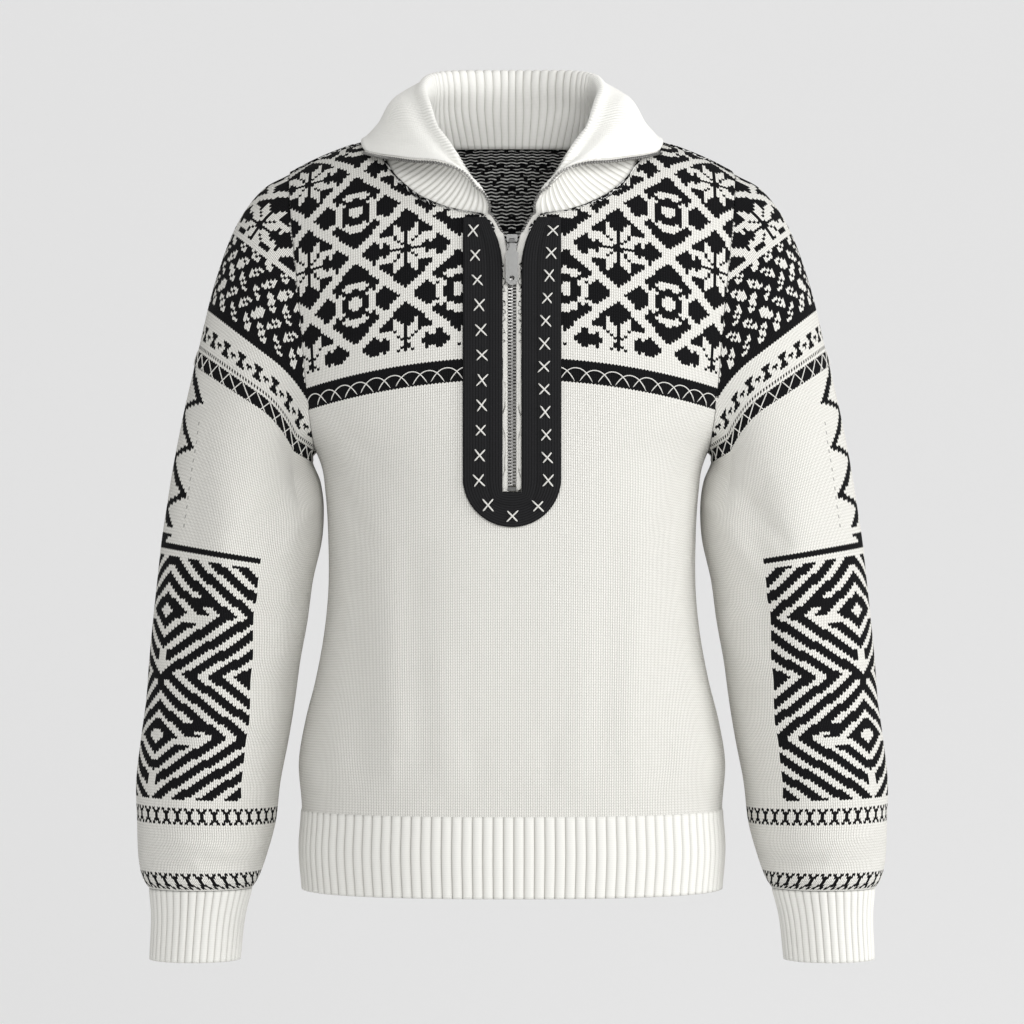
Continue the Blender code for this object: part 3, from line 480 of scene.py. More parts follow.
# lozenges on a black ground, filled by turns with a star and a ringed dot
def starLattice(p, q):
    halfW, halfH = yoke["width"] / 2, yoke["height"] / 2
    c = np.abs((p / yoke["width"] + 0.5) % 1 - 0.5) * yoke["width"]
    r = ((q / yoke["height"] + 0.5) % 1 - 0.5) * yoke["height"]
    across = c / halfW + np.abs(r) / halfH
    stroke, dot = yoke["stroke"], yoke["dot"]
    light = np.abs(across - 1) / np.hypot(1 / halfW, 1 / halfH) < yoke["lattice"]
    star = starShape(c, r, yoke["petal"])
    c2, r2 = halfW - c, halfH - np.abs(r)
    away = np.hypot(c2, r2)
    rings = (np.abs(away - yoke["ring"]) < stroke) | (away < dot)
    rings &= (np.abs(c2 - r2) > yoke["cut"]) | (away < dot)
    # short spurs stand on the lattice between its crossings
    x, y = halfW * yoke["spur"][0], halfH * yoke["spur"][1]
    wide = stroke * yoke["spurThick"]
    spurs = lineGap(c, np.abs(r), (x, y), (x - 6, y - 9)) < wide
    outer = lineGap(c2, r2, (x, y), (x - 8, y - 6)) < wide
    light |= np.where(across < 1, star | spurs, rings | outer)
    return 1.0 - light


# rows of slanted leaves that lean by turns to either side
def leafRows(p, q):
    row = np.floor(q / leaf["row"])
    column = p / leaf["pitch"] + 0.5 * (row % 2)
    lean = np.where(row % 2 == 0, 1.0, -1.0)
    x = (column % 1 - 0.5) * leaf["pitch"]
    y = (q / leaf["row"] % 1 - 0.5) * leaf["row"]
    along, aside = (x + lean * y) * 0.707, (x - lean * y) * 0.707
    wide = leaf["wide"] + leaf["vary"] * np.sin(column * 2.1 + row)
    blade = (along / leaf["long"]) ** 2 + (aside / wide) ** 2 < 1
    vein = (np.abs(aside) < leaf["veinWide"]) & (np.abs(along) < leaf["veinLong"])
    return 1.0 - (blade & ~vein)


# the middle of the stitch that a leg belongs to
def stitchMiddle(p, legStep):
    return (np.floor(p / (2 * legStep)) + 0.5) * 2 * legStep


# below the yoke come a pale stripe, the black band and plain ivory
def aboveBand(shade, q):
    shade = np.where(q < yoke["foot"], 0.0, shade)
    return np.where((q > yoke["band"][0]) & (q <= yoke["band"][1]), 1.0, shade)


def bodyChart(p, q, legStep, rowStep):
    return aboveBand(starLattice(stitchMiddle(p, legStep), q - yoke["foot"] - yoke["starsFrom"]), q)


# the wrong side of the yoke: floats of both yarns, mostly black
def reverseChart(p, q, legStep, rowStep):
    shade = starLattice(p, q - yoke["foot"] - yoke["starsFrom"])
    column, row = np.floor(p / legStep), np.floor(q / rowStep)
    dash = np.sin(column * 1.9 + row * 2.7) * np.sin(column * 0.7 - row * 1.3)
    return aboveBand(np.where((shade < 0.5) | (dash > -0.12), 0.5, 1.0), q)


knitIvory = knitFinish("ivory_and_black_knit")
knitReverse = knitFinish("knit_wrong_side", purl=True)

for name, side, cut, area in (("front", -1, (0.47, 0.60), 0.222), ("back", 1, (0.47, 0.63), 0.255)):
    outside = bodyPanel(f"{name}_panel", side, knit["leg"], knit["row"], knitIvory, bodyChart)
    inside = bodyPanel(
        f"{name}_wrong_side", side, knit["bodyInside"], knit["row"], knitReverse, reverseChart, inside=True
    )
    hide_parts(name)
    print(name, "panel knitted:", len(outside.data.polygons), "faces")


sleeve = {
    "rings": (
        (166.3, -256, 189.3, -19, 64, 0), (168.4, -256.6, 213, -33, 64, 0), (169.9, -258.2, 235, -64, 63.5, 0),
        (170.2, -260.6, 253, -113, 62.5, 0), (169.6, -263.8, 266.5, -168, 61.5, 0), (167.4, -269, 279, -222, 60, -1),
        (162.6, -281, 288, -268, 59.5, -2), (160, -302, 293, -300, 59, -3), (161.5, -330, 297.5, -330, 59, -4),
        (169, -364, 301, -364, 58.5, -6), (173.5, -398, 304.5, -398, 58, -8), (179.5, -432, 307.5, -432, 57.5, -10),
        (184, -466, 310, -466, 57, -12), (189.5, -500, 314.5, -500, 56, -14), (196, -534, 318, -534, 55, -16),
        (200, -568, 317, -568, 53, -18), (207.5, -596, 316, -596, 49.5, -19), (214, -614, 312.5, -614, 46, -20),
        (219.5, -622.9, 307, -622.9, 41, -20),
    ),
    "fadeRings": 6,
    # the line that the knit rows cross: how far along, where, and how the rows tilt there
    "axis": (
        (0, 128.2, -63.8, 36), (150, 216, -185.5, 36), (306, 231, -341, 9.5), (515, 259, -548, 1.5),
        (592, 263, -624, 0),
    ),
    "sagFrom": 12.0, "sag": 0.0075, "bandStart": 137.0, "length": 612.0, "crossRows": (520.0, 575.0),
    "folds": {
        -1: (
            (200, -285, 210, -420, 17, -3.8), (236, -300, 242, -410, 18, 2.6), (196, -448, 268, -415, 17, -2.8),
            (176, -275, 226, -330, 8, -2.2), (168, -300, 214, -372, 8, 1.6), (262, -250, 272, -340, 12, -1.4),
            (188, -395, 250, -372, 9, -1.8), (206, -500, 262, -478, 10, -1.6), (270, -470, 300, -520, 12, -1.5),
            (206, -560, 262, -545, 9, -1.7), (236, -590, 306, -575, 8, 1.4), (214, -604, 256, -598, 6, -1.5),
            (285, -360, 292, -440, 12, 1.3), (270, -604, 304, -596, 6, -1.3),
        ),
        1: (
            (204, -285, 216, -420, 19, -4.2), (198, -440, 272, -405, 18, -3.4), (176, -275, 232, -336, 9, -2.4),
            (190, -380, 262, -350, 10, 1.9), (250, -250, 262, -350, 13, -1.6), (206, -505, 290, -470, 12, -2.2),
            (208, -560, 296, -530, 10, 1.8), (214, -600, 300, -580, 8, -1.8), (280, -380, 290, -450, 12, 1.4),
        ),
    },
}


def armholeHeight(turn):
    middle = (torso["shoulderTip"] + torso["underarm"]) / 2
    return middle + (torso["shoulderTip"] - middle) * np.cos(turn)


# where the sleeve starts, all round the armhole, for turns from the shoulder tip down the front
def armholeStart(turns):
    down = np.where(turns <= math.pi, turns, 2 * math.pi - turns)
    z = armholeHeight(down)
    x = armholeOut(z)
    front = turns <= math.pi
    y = np.where(front, -standOff(x, z, -1), standOff(x, z, 1))
    y = np.where(np.abs(np.sin(turns)) < 1e-6, 0.0, y)
    points = np.stack((x, y, z), axis=-1)
    normals = np.where(front[:, None], bodyNormal(x, z, -1), bodyNormal(x, z, 1))
    share = ease((down / math.pi - torso["seamTurn"]) / (1 - torso["seamTurn"]))[:, None]
    normals = unit(normals * (1 - share) + np.array((0.0, 0.0, -1.0)) * share)
    runs = unit(np.roll(points, -1, axis=0) - points)
    tangents = unit(runs + np.roll(runs, 1, axis=0))
    cross = unit(np.cross(tangents, normals))
    cross *= np.sign(cross[:, :1])
    return points + seamGap * cross


class SleeveForm:
    def __init__(self, count=720):
        self.turns = np.arange(count) * 2 * math.pi / count
        self.start = armholeStart(self.turns)
        self.rings = np.array(sleeve["rings"], float)
        self.index = np.arange(len(self.rings))

    def ring(self, turn, section):
        innerX, innerZ, outerX, outerZ, halfDepth, middleY = [section[..., k] for k in range(6)]
        x = (innerX + outerX) / 2 + (outerX - innerX) / 2 * np.cos(turn)
        z = (innerZ + outerZ) / 2 + (outerZ - innerZ) / 2 * np.cos(turn)
        return np.stack((x, middleY - halfDepth * np.sin(turn), z), axis=-1)

    def point(self, turn, along):
        turn = np.mod(turn, 2 * math.pi)
        section = smoothCurve(self.index, self.rings, along)
        first = self.ring(turn, np.broadcast_to(self.rings[0], section.shape))
        wrapped = np.append(self.turns, 2 * math.pi)
        closed = np.vstack((self.start, self.start[:1]))
        start = np.stack([np.interp(turn, wrapped, closed[:, k]) for k in range(3)], axis=-1)
        share = (1 - ease(along / sleeve["fadeRings"]))[..., None]
        point = self.ring(turn, section) + share * (start - first)
        front = ease(0.5 + 2.5 * np.sin(turn))
        x, z = point[..., 0], point[..., 2]
        rise = front * foldRise(sleeve["folds"][-1], x, z) + (1 - front) * foldRise(sleeve["folds"][1], x, z)
        ends = ease(along / 4) * ease((len(self.rings) - 1 - along) / 1.5)
        rise = rise * ends * np.minimum(1, 3 * np.abs(np.sin(turn)))
        width, height = section[..., 2] - section[..., 0], section[..., 3] - section[..., 1]
        half = np.hypot(width, height) / 2
        outX, outZ = width / (2 * half) * np.cos(turn) / half, height / (2 * half) * np.cos(turn) / half
        away = unit(np.stack((outX, -np.sin(turn) / section[..., 4], outZ), axis=-1))
        return point + rise[..., None] * away


# how far down the arm a point lies, counted across the knit rows
def rowDistance(x, z):
    axis = np.array(sleeve["axis"], float)
    q = np.full(np.shape(x), 250.0)
    for _ in range(30):
        spot = smoothCurve(axis[:, 0], axis[:, 1:], q)
        tilt = np.radians(spot[..., 2])
        gap = (x - spot[..., 0]) * np.sin(tilt) - (z - spot[..., 1]) * np.cos(tilt)
        inward = -(x - spot[..., 0]) * np.cos(tilt) - (z - spot[..., 1]) * np.sin(tilt) - sleeve["sagFrom"]
        sag = sleeve["sag"] * np.clip(inward, 0, 45) ** 2 * np.exp(-(((q - 185) / 80) ** 2))
        q = np.maximum(q + 0.6 * (gap - sag), -200.0)
    return q


def sleeveGrid(form, legStep, heights, half):
    turns = np.linspace(0, math.pi, 181)
    along = np.linspace(0, len(sleeve["rings"]) - 1, 260)
    grid = np.zeros((len(heights), 2 * half + 1, 3))
    for sign in (1, -1):
        # front of the arm for sign 1, back for -1
        every = np.broadcast_arrays(sign * turns[:, None], along[None])
        dense = form.point(*every)
        q = rowDistance(dense[..., 0], dense[..., 2])
        q = np.maximum.accumulate(q, axis=1) + np.linspace(0, 1e-3, len(along))[None]
        for i, height in enumerate(heights):
            reach = np.array([np.interp(height, q[k], along) for k in range(len(turns))])
            hit = np.interp(height, q[:, 0], turns)
            held = np.minimum(turns, hit)
            length = runLength(form.point(sign * held, np.where(turns > hit, 0.0, reach)))
            legs = np.arange(half + 1) * legStep
            turn = np.interp(legs, length, held)
            k = np.interp(turn, turns, reach)
            k = np.where((turn >= hit - 1e-9) & (hit < math.pi), 0.0, k)
            points = form.point(sign * turn, k)
            if sign > 0:
                grid[i, half:] = points
            else:
                grid[i, : half + 1] = points[::-1]
    return grid


crossChart = ((1, 1, 0, 0, 1, 1, 0), (0, 1, 1, 1, 1, 0, 0), (0, 0, 1, 1, 0, 0, 0))
figureChart = (
    (0, 0, 1, 1, 1, 1, 1, 1, 0, 0, 0, 0),
    (0, 0, 0, 1, 1, 1, 1, 0, 0, 0, 0, 0),
    (1, 0, 0, 0, 1, 1, 0, 0, 0, 1, 1, 1),
    (0, 0, 0, 1, 1, 1, 1, 0, 0, 0, 1, 0),
    (0, 0, 1, 1, 1, 1, 1, 1, 0, 0, 0, 0),
)


# small figures side by side, knitted from a chart of rows and legs
def figures(chart, p, q, low):
    chart = np.array(chart)
    row, column = np.floor((q - low) / knit["row"]).astype(int), np.floor(p / knit["leg"]).astype(int)
    inside = (row >= 0) & (row < len(chart))
    return np.where(inside, chart[np.clip(row, 0, len(chart) - 1), column % chart.shape[1]], 0)


fret = {
    "front": 123.0, "back": -42.0, "top": 306.0, "foot": 512.0, "edge": 5.2, "gap": 9.0, "spread": 0.92,
    "rings": 3.4,
}


# stacked nested lozenges, broken and bridged by turns, between half lozenges at the sides
def fretPanel(p, q):
    middle, halfW = (fret["front"] + fret["back"]) / 2, (fret["front"] - fret["back"]) / 2
    tall = (fret["foot"] - fret["top"]) / 2
    c = np.abs(p - middle)
    up = ((q - fret["top"]) / tall) % 1 - 0.5
    steps = (c / (halfW * fret["spread"]) + np.abs(up) * 2) * fret["rings"]
    ring = steps.astype(int)
    thin = steps % 1 < 0.42
    y = up * tall
    shade = (steps % 1 > 0.40).astype(float)
    shade = np.where((ring == 1) & (np.abs(y - 4) < 3.4) & (c > 6), 0.0, shade)
    shade = np.where((ring == 2) & (c < 4.6) & (y > 0), 0.0, shade)
    shade = np.where((ring == 2) & thin & (np.abs(y + 9) < 3.4), 1.0, shade)
    return np.where((ring == 3) & thin & (c < 4.0) & (y < 0), 1.0, shade)


# places along the arm are counted from the start of its bands
bands = {
    "leavesTall": 64.0, "leafEdge": 3.5, "dark": (-11.0, -4.5), "figures": 9.0, "dots": (24.0, 26.6),
    "trellis": (28.5, 41.0), "dotsTurn": 47.0, "dotsFrom": 75.0,
}
zigzag = {
    "start": 62.0, "pitch": 35.0, "turn": 0.34, "outer": 42.0, "swing": 34.0, "half": 5.0, "more": 3.0,
    "count": 2.75,
}


def sleeveChart(p, q, legStep, rowStep):
    stitch, column = stitchMiddle(p, legStep), np.floor(p / legStep)
    down = q - sleeve["bandStart"]
    leaves = down + yoke["starsFrom"] + bands["leavesTall"]
    shade = starLattice(np.abs(stitch) + 42, -yoke["starsFrom"] - down)

    def paint(where, value):
        np.copyto(shade, value, where=where)

    def zone(name):
        return (down > bands[name][0]) & (down <= bands[name][1])

    paint(leaves > 0, leafRows(stitch, leaves))
    paint((leaves > 0) & (leaves < bands["leafEdge"]), 0.0)
    paint(zone("dark"), 1.0)
    paint(down > bands["dark"][1], 0.0)
    paint(figures(figureChart, p, q, sleeve["bandStart"] + bands["figures"]) > 0, 1.0)
    paint(zone("dots") & (column % 2 == 0), 1.0)
    paint(zone("trellis"), 1.0)
    # zigzag down the outside of the arm, and the dots where its light yarn turns back
    fall = (down - zigzag["start"]) / zigzag["pitch"]
    phase = fall % 1
    swing = np.where(phase < zigzag["turn"], phase / zigzag["turn"], (1 - phase) / (1 - zigzag["turn"]))
    line = np.abs(stitch - zigzag["outer"] + zigzag["swing"] * swing) < zigzag["half"] + zigzag["more"] * swing
    paint(line & (down > bands["trellis"][1]) & (fall < zigzag["count"]), 1.0)
    paint((fall >= 2.85) & (fall < 3.2) & (np.abs(stitch - 14) < 20 * (3.2 - fall) / 0.35), 1.0)
    turned = (np.abs(p - bands["dotsTurn"]) < legStep / 2) & (down > bands["dotsFrom"])
    paint(turned & (q < fret["top"] - 14) & (np.floor(q / rowStep) % 3 == 0), 0.45)
    panel = (stitch < fret["front"]) & (stitch > fret["back"]) & (q > fret["top"]) & (q < fret["foot"])
    paint(panel, fretPanel(stitch, q))
    paint(panel & (q < fret["top"] + fret["gap"]), 0.0)
    paint(panel & (q < fret["top"] + fret["edge"]), 1.0)
    for low in sleeve["crossRows"]:
        paint(figures(crossChart + crossChart[::-1], p, q, low) > 0, 1.0)
    return shade


def knitSleeve(name, mirror, material, legStep, rowStep, inside=False):
    half = int(knit["sleeveReach"] / legStep / 2) * 2
    form = SleeveForm()
    tip = float(rowDistance(np.array(189.3), np.array(-19.0)))
    heights = np.arange(tip, sleeve["length"], rowStep)
    grid = sleeveGrid(form, legStep, heights, half)
    p = (np.arange(2 * half) - half + 0.5) * legStep
    if inside:
        shades = np.zeros((len(heights) - 1, 2 * half))
    else:
        lower = sleeveGrid(form, legStep, heights + knit["slant"] * rowStep, half)
        grid[:, 1::2] = lower[:, 1::2]
        shades = sleeveChart(p[None, :], (heights[:-1] + rowStep / 2)[:, None], legStep, rowStep)
    grid[..., 0] *= mirror
    legs = (legStep / knit["leg"], rowStep / knit["row"])
    piece = clothPiece(name, grid, material, shades, legs, turnOver=(mirror < 0) != inside)
    if inside:
        moveOut(piece, knit["inset"])
    return piece


for side, mirror in (("right", -1), ("left", 1)):
    outside = knitSleeve(f"sleeve_{side}_knit", mirror, knitIvory, knit["leg"], knit["row"])
    inside = knitSleeve(f"sleeve_{side}_wrong_side", mirror, knitReverse, *knit["sleeveInside"], inside=True)
    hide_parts(f"sleeve_{side}")
    print(side, "sleeve knitted:", len(outside.data.polygons), "faces")


rib = {
    "thick": 2.2, "raise": 0.85, "perRib": 8, "rowsEach": 1.8, "hemRibs": 111, "cuffRibs": 38, "collarRibs": 112,
    "perCollarRib": 6, "relief": 0.35,
}
# painted shade: the hem and cuffs get a darker copy of the ivory that the collar keeps, and both darken in their rib
# troughs
shadedRibFinish, collarFinish = [
    knitFinish(name, charted=False, relief=rib["relief"], light=light, gap=gap)
    for name, light, gap in (
        ("ivory_rib_knit_painted_shade", (0.73, 0.725, 0.69, 1), (0.34, 0.33, 0.30, 1)),
        ("ivory_collar_knit", (0.84, 0.835, 0.80, 1), (0.44, 0.43, 0.39, 1)),
    )
]


# broad round ribs with narrow troughs, from -1 to 1
def ribWave(columns, ribs):
    phase = np.arange(columns) / (columns - 1) * ribs
    return 2 * np.abs(np.cos(math.pi * phase)) ** 0.55 - 1


def ribbedBand(name, rings, ribs, node):
    outward = unit((rings - rings.mean(axis=1, keepdims=True)) * np.array((1.0, 1.0, 0.0)))
    wave = ribWave(rings.shape[1], ribs)[None, :, None]
    begins = ease((np.arange(len(rings)) + 0.4) / 1.6)[:, None, None]
    points = rings + (rib["raise"] * wave * begins - rib["thick"] / 2) * outward
    points[:, -1] = points[:, 0]
    band = clothPiece(name, points, shadedRibFinish, None, (2 / rib["perRib"], rib["rowsEach"]))
    bm = bmesh.new()
    bm.from_mesh(band.data)
    bmesh.ops.recalc_face_normals(bm, faces=bm.faces)
    bm.to_mesh(band.data)
    bm.free()
    thicken(band, rib["thick"], 0.0)
    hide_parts(node)


def evenly(points, count):
    length = runLength(points)
    at = np.linspace(0, length[-1], count)
    return np.stack([np.interp(at, length, points[:, k]) for k in range(3)], axis=1)


def hemRings():
    turn = np.linspace(0, 2 * math.pi, 2881)
    power = 2 / torso["squareness"]
    rings = []
    for z in np.linspace(-557.2, -625.0, 26):
        half, front, back = [float(smoothCurve(torso["z"], torso[key], z)) for key in ("halfWidth", "front", "back")]
        x = half * np.sign(np.cos(turn)) * np.abs(np.cos(turn)) ** power
        stand = np.where(np.sin(turn) > 0, front, back)
        y = -stand * np.sign(np.sin(turn)) * np.abs(np.sin(turn)) ** power
        ring = np.stack((x, y, np.full_like(x, z)), axis=1)
        rings.append(evenly(ring, rib["hemRibs"] * rib["perRib"] + 1))
    return np.array(rings)


cuff = {
    "z": (-683.5, -642.0, -623.2), "middleX": (268.0, 264.9, 263.25), "halfWidth": (37.8, 39.8, 43.2),
    "halfDepth": (34.8, 36.9, 40.4), "middleY": (-21.5, -20.5, -20.0),
}


def cuffRings(mirror):
    turn = np.linspace(0, 2 * math.pi, rib["cuffRibs"] * rib["perRib"] + 1)
    rings = []
    for z in np.linspace(-623.2, -683.5, 24):
        middleX, halfWidth, halfDepth, middleY = [
            float(smoothCurve(cuff["z"], cuff[key], z)) for key in ("middleX", "halfWidth", "halfDepth", "middleY")
        ]
        x = (middleX + halfWidth * np.cos(turn)) * mirror
        y = middleY - halfDepth * np.sin(turn)
        rings.append(np.stack((x, y, np.full_like(x, z)), axis=1))
    return np.array(rings)


ribbedBand("hem_band", hemRings(), rib["hemRibs"], "hem_rib")
for side, mirror in (("right", -1), ("left", 1)):
    rings = cuffRings(mirror)
    ribbedBand(f"cuff_{side}_band", rings, rib["cuffRibs"], f"cuff_{side}")
print("hem and cuffs ribbed")

# stations from the zip's end round to the middle of the back: how the collar stands, rolls and falls
collar = {
    "stand": ((22, -98, -51), (58, -86, -33), (90, -60, -7), (93, -16, 22), (84, 28, 33), (60, 62, 41), (0, 76, 42)),
    "roll": (
        (27, -102, -40.5), (46, -96, -11), (61, -68, 12), (71, -30, 38), (75.5, 13, 57.5), (62, 54, 71.5), (0, 83, 76),
    ),
    "upper": (
        (47, -103.5, -22.5), (70, -87, -4.5), (85, -58, 15), (94, -16, 39), (93, 28, 51), (73, 70, 60), (0, 94, 62),
    ),
    "lower": ((88, -83, -13), (102, -61, 0.5), (110, -31, 14), (112, 9, 23), (107, 48, 27), (74, 82, 35), (0, 96, 36)),
    "edge": ((121, -45, -4.5), (126, -27, 4), (125, 2, 9.5), (124, 34, 9.5), (113, 66, 9), (72, 86, 9), (0, 94, 9)),
    "fold": (0, 2.4, 3.0, 3.4, 3.4, 3.4, 3.4),
    "foldReach": 0.14, "foldDrop": 0.6, "tuck": 2.0, "rows": 44,
}


def neckSeam():
    half = torso["neckHalf"]
    x = half * np.sin(np.linspace(math.asin(torso["slotTopHalf"] / half), math.pi / 2, 400))
    z = neckHeight(x, -1)
    front = np.stack((x, -standOff(x, z, -1), z), axis=1)
    x = np.linspace(half, 0, 300)
    z = np.full_like(x, torso["neckBack"])
    back = np.stack((x, bodyY(x, z, 1), z), axis=1)
    left = np.vstack((front, back))
    return np.vstack((left[:-1] * mirrorX, left[::-1]))


def collarSurface(columns, rows):
    seam = evenly(neckSeam(), columns)
    stations = np.linspace(0, 1, 2 * len(collar["fold"]) - 1)
    spots = np.linspace(0, 1, columns)
    guides = {}
    for name in ("stand", "roll", "upper", "lower", "edge", "fold"):
        left = np.array(collar[name], float)
        right = left * mirrorX if left.ndim > 1 else left
        guides[name] = smoothCurve(stations, np.concatenate((right, left[-2::-1])), spots)
    lines = []
    for j in range(columns):
        roll, edge, fold = guides["roll"][j], guides["edge"][j], guides["fold"][j]
        stand, upper = guides["stand"][j], guides["upper"][j]
        lift = stand - seam[j]
        start = seam[j] - collar["tuck"] * lift / np.linalg.norm(lift)
        aside = fold * unit((edge - roll) * np.array((1.0, 1.0, 0.0)))
        drop = np.array((0.0, 0.0, collar["foldDrop"] * fold))
        reach = collar["foldReach"]
        knots = np.array((
            start, stand, roll + reach * (stand - roll) - aside - drop, roll,
            roll + reach * (upper - roll) + aside - drop, upper, guides["lower"][j], edge,
        ))
        length = runLength(knots)
        crease = length[3] / length[-1]
        shares = np.interp(np.linspace(0, 1, rows), (0, 0.3, 0.62, 1), (0, crease - 0.08, crease + 0.08, 1))
        at = shares * length[-1]
        lines.append(smoothCurve(length, knots, at))
    return np.array(lines).transpose(1, 0, 2)


def gridNormals(grid):
    return unit(np.cross(np.gradient(grid, axis=0), np.gradient(grid, axis=1)))


def knitCollar():
    base = collarSurface(rib["collarRibs"] * rib["perCollarRib"] + 1, collar["rows"])
    under = gridNormals(base)
    # these point to the underside of the fall and the outside of the stand
    if under[-1, base.shape[1] // 2, 1] > 0:
        under = -under
    wave = ribWave(base.shape[1], rib["collarRibs"])[None, :, None]
    fade = ease(np.arange(base.shape[0]) / 3)[:, None, None]
    middle = base - (rib["thick"] / 2 + 0.5 + rib["raise"] * wave * fade * 0.9) * under
    legs = (2 / rib["perCollarRib"], 2 * rib["rowsEach"])
    band = clothPiece("collar_band", middle, collarFinish, None, legs)
    thicken(band, rib["thick"], 0.0)
    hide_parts("collar")
    return base, under


collarBase, collarUnder = knitCollar()
print("collar ribbed")


facing = {
    "half": 40.4, "foot": -318.4, "top": -62.6, "lift": 0.55, "thick": 1.9,
    "welt": 12.2, "weltDeep": 0.75, "weltWide": 1.3, "edgeRound": 1.3,
}


# rails run from the slot's edge to the facing's rim, down the side and half round the foot
def facingSurface():
    half, roundZ = facing["half"], facing["foot"] + facing["half"]
    inner, slotFoot = torso["slotHalf"] + seamGap, torso["slotFoot"] - seamGap
    holes, rims = [], []
    for z in np.linspace(facing["top"], roundZ, 110):
        holes.append((float(slotHalf(z)) + seamGap, z))
        rims.append((half, z))
    for share in np.arange(1, 33) / 32:
        turn = math.pi / 2 * share
        rims.append((half * math.cos(turn), roundZ - half * math.sin(turn)))
        down, inwards = min(share * 2, 1), min((1 - share) * 2, 1)
        holes.append((inner * inwards, roundZ + (slotFoot - roundZ) * down))
    holes, rims = np.array(holes)[:, None], np.array(rims)[:, None]
    share = np.linspace(0, 1, 29)[:, None]
    spots = holes + share * (rims - holes)
    width = np.linalg.norm(rims - holes, axis=-1)
    at = share[:, 0] * width
    edge = np.minimum(at, width - at)
    out = facing["lift"] + facing["thick"] - 0.7 * (1 - np.sqrt(np.clip(edge / facing["edgeRound"], 0, 1)))
    out = out - facing["weltDeep"] * np.exp(-(((at - facing["welt"]) / facing["weltWide"]) ** 2))
    grid = onFront(spots[..., 0], spots[..., 1], out)
    return np.concatenate((grid, grid[-2::-1] * mirrorX))


# black yarn for the facing, with painted shade in the gaps between its legs
facingFinish = knitFinish(
    "black_knit_facing", charted=False, relief=0.5, light=(0.016, 0.016, 0.017, 1), gap=(0.004, 0.004, 0.004, 1)
)
placket = clothPiece("placket_facing", facingSurface(), facingFinish, None, (1.0, 1.0), turnOver=True)
thicken(placket, 1.5, -1.0)
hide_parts("placket")


# tubes of one number of points each, all in one mesh
def yarnPiece(name, strands, radius, sides=6):
    bm = bmesh.new()
    for path in strands:
        path = np.asarray(path, float)
        runs = unit(np.gradient(path, axis=0))
        helper = np.where(np.abs(runs[:, 1:2]) < 0.9, np.array((0.0, 1.0, 0.0)), np.array((1.0, 0.0, 0.0)))
        first = unit(np.cross(runs, helper))
        second = np.cross(runs, first)
        count = len(path)
        size = radius * np.clip(np.minimum(np.arange(count), np.arange(count)[::-1]) / 1.2 + 0.35, 0, 1)
        made = bmesh.ops.create_grid(bm, x_segments=count - 1, y_segments=sides, size=0.5)["verts"]
        for vert in made:
            j = round((vert.co.x + 0.5) * (count - 1))
            turn = round((vert.co.y + 0.5) * sides) % sides * 2 * math.pi / sides
            vert.co = Vector((path[j] + size[j] * (math.cos(turn) * first[j] + math.sin(turn) * second[j])) * mm)
    bmesh.ops.remove_doubles(bm, verts=bm.verts, dist=0.001 * mm)
    bmesh.ops.recalc_face_normals(bm, faces=bm.faces)
    for face in bm.faces:
        face.smooth = True
    addPiece(name, bm, lightYarn)


def yarnFinish(name, colour, gap):
    material, shader, wire = startFinish(name, 0.85)
    inputs = {"Vector": wire.node("ShaderNodeTexCoord", out=3), "Scale": 900.0, "Distortion": 2.0}
    plies = wire.node("ShaderNodeTexWave", {"bands_direction": "DIAGONAL"}, inputs, out=1)
    # painted shade: the yarn darkens toward its gap colour in diagonal bands that stand for the grooves between its
    # plies
    mixColour(plies * 0.5, colour, gap).into(shader.inputs["Base Color"])
    addRelief(wire, shader, plies, 0.0003, 0.5)
    return material


lightYarn = yarnFinish("embroidery_yarn", (0.80, 0.79, 0.75, 1), (0.45, 0.44, 0.41, 1))

crosses = {
    "right": {"count": 11, "x": (-32.0, -24.7, -27.1)},
    "left": {"count": 12, "x": (33.7, 26.3, 29.6)},
    "foot": ((-19.7, -300.2), (0.3, -309.3), (21.4, -301.1)),
    "top": -74.2, "low": -279.7, "reach": 4.4, "height": 4.9, "thick": 0.66,
}


def crossStrands(x, z, k):
    lean = 0.5 * math.sin(k * 2.3)
    strands = []
    for n, sign in enumerate((1, -1)):
        t = np.linspace(-1, 1, 9)
        px = x + sign * crosses["reach"] * t * (1 + 0.08 * math.sin(k + n)) + lean * t
        pz = z + crosses["height"] * t * (1 + 0.1 * math.sin(2 * k + 1 + n))
        out = facing["lift"] + facing["thick"] + 0.25 + (0.55 + 0.45 * n) * (1 - t**4)
        out = out - 0.9 * np.abs(t) ** 12
        strands.append(onFront(px, pz, out))
    return strands


spots = list(crosses["foot"])
for side in ("right", "left"):
    share = np.linspace(0, 1, crosses[side]["count"])
    x = smoothCurve((0, 0.5, 1), crosses[side]["x"], share)
    spots += list(zip(x, crosses["top"] + share * (crosses["low"] - crosses["top"])))
strands = []
for k, (x, z) in enumerate(spots):
    strands += crossStrands(x, z, k)
yarnPiece("embroidered_crosses", strands, crosses["thick"])
print("facing sewn with", len(spots), "crosses")


trellis = {
    "thick": 0.46, "arcWide": 27.0, "arcPitch": 15.3, "arcTall": 10.5, "slantPitch": 14.2, "clearOfFacing": 36.0,
    "rowStep": 3.0, "margin": 6.0, "frontLegs": 130, "armLegs": 150,
}


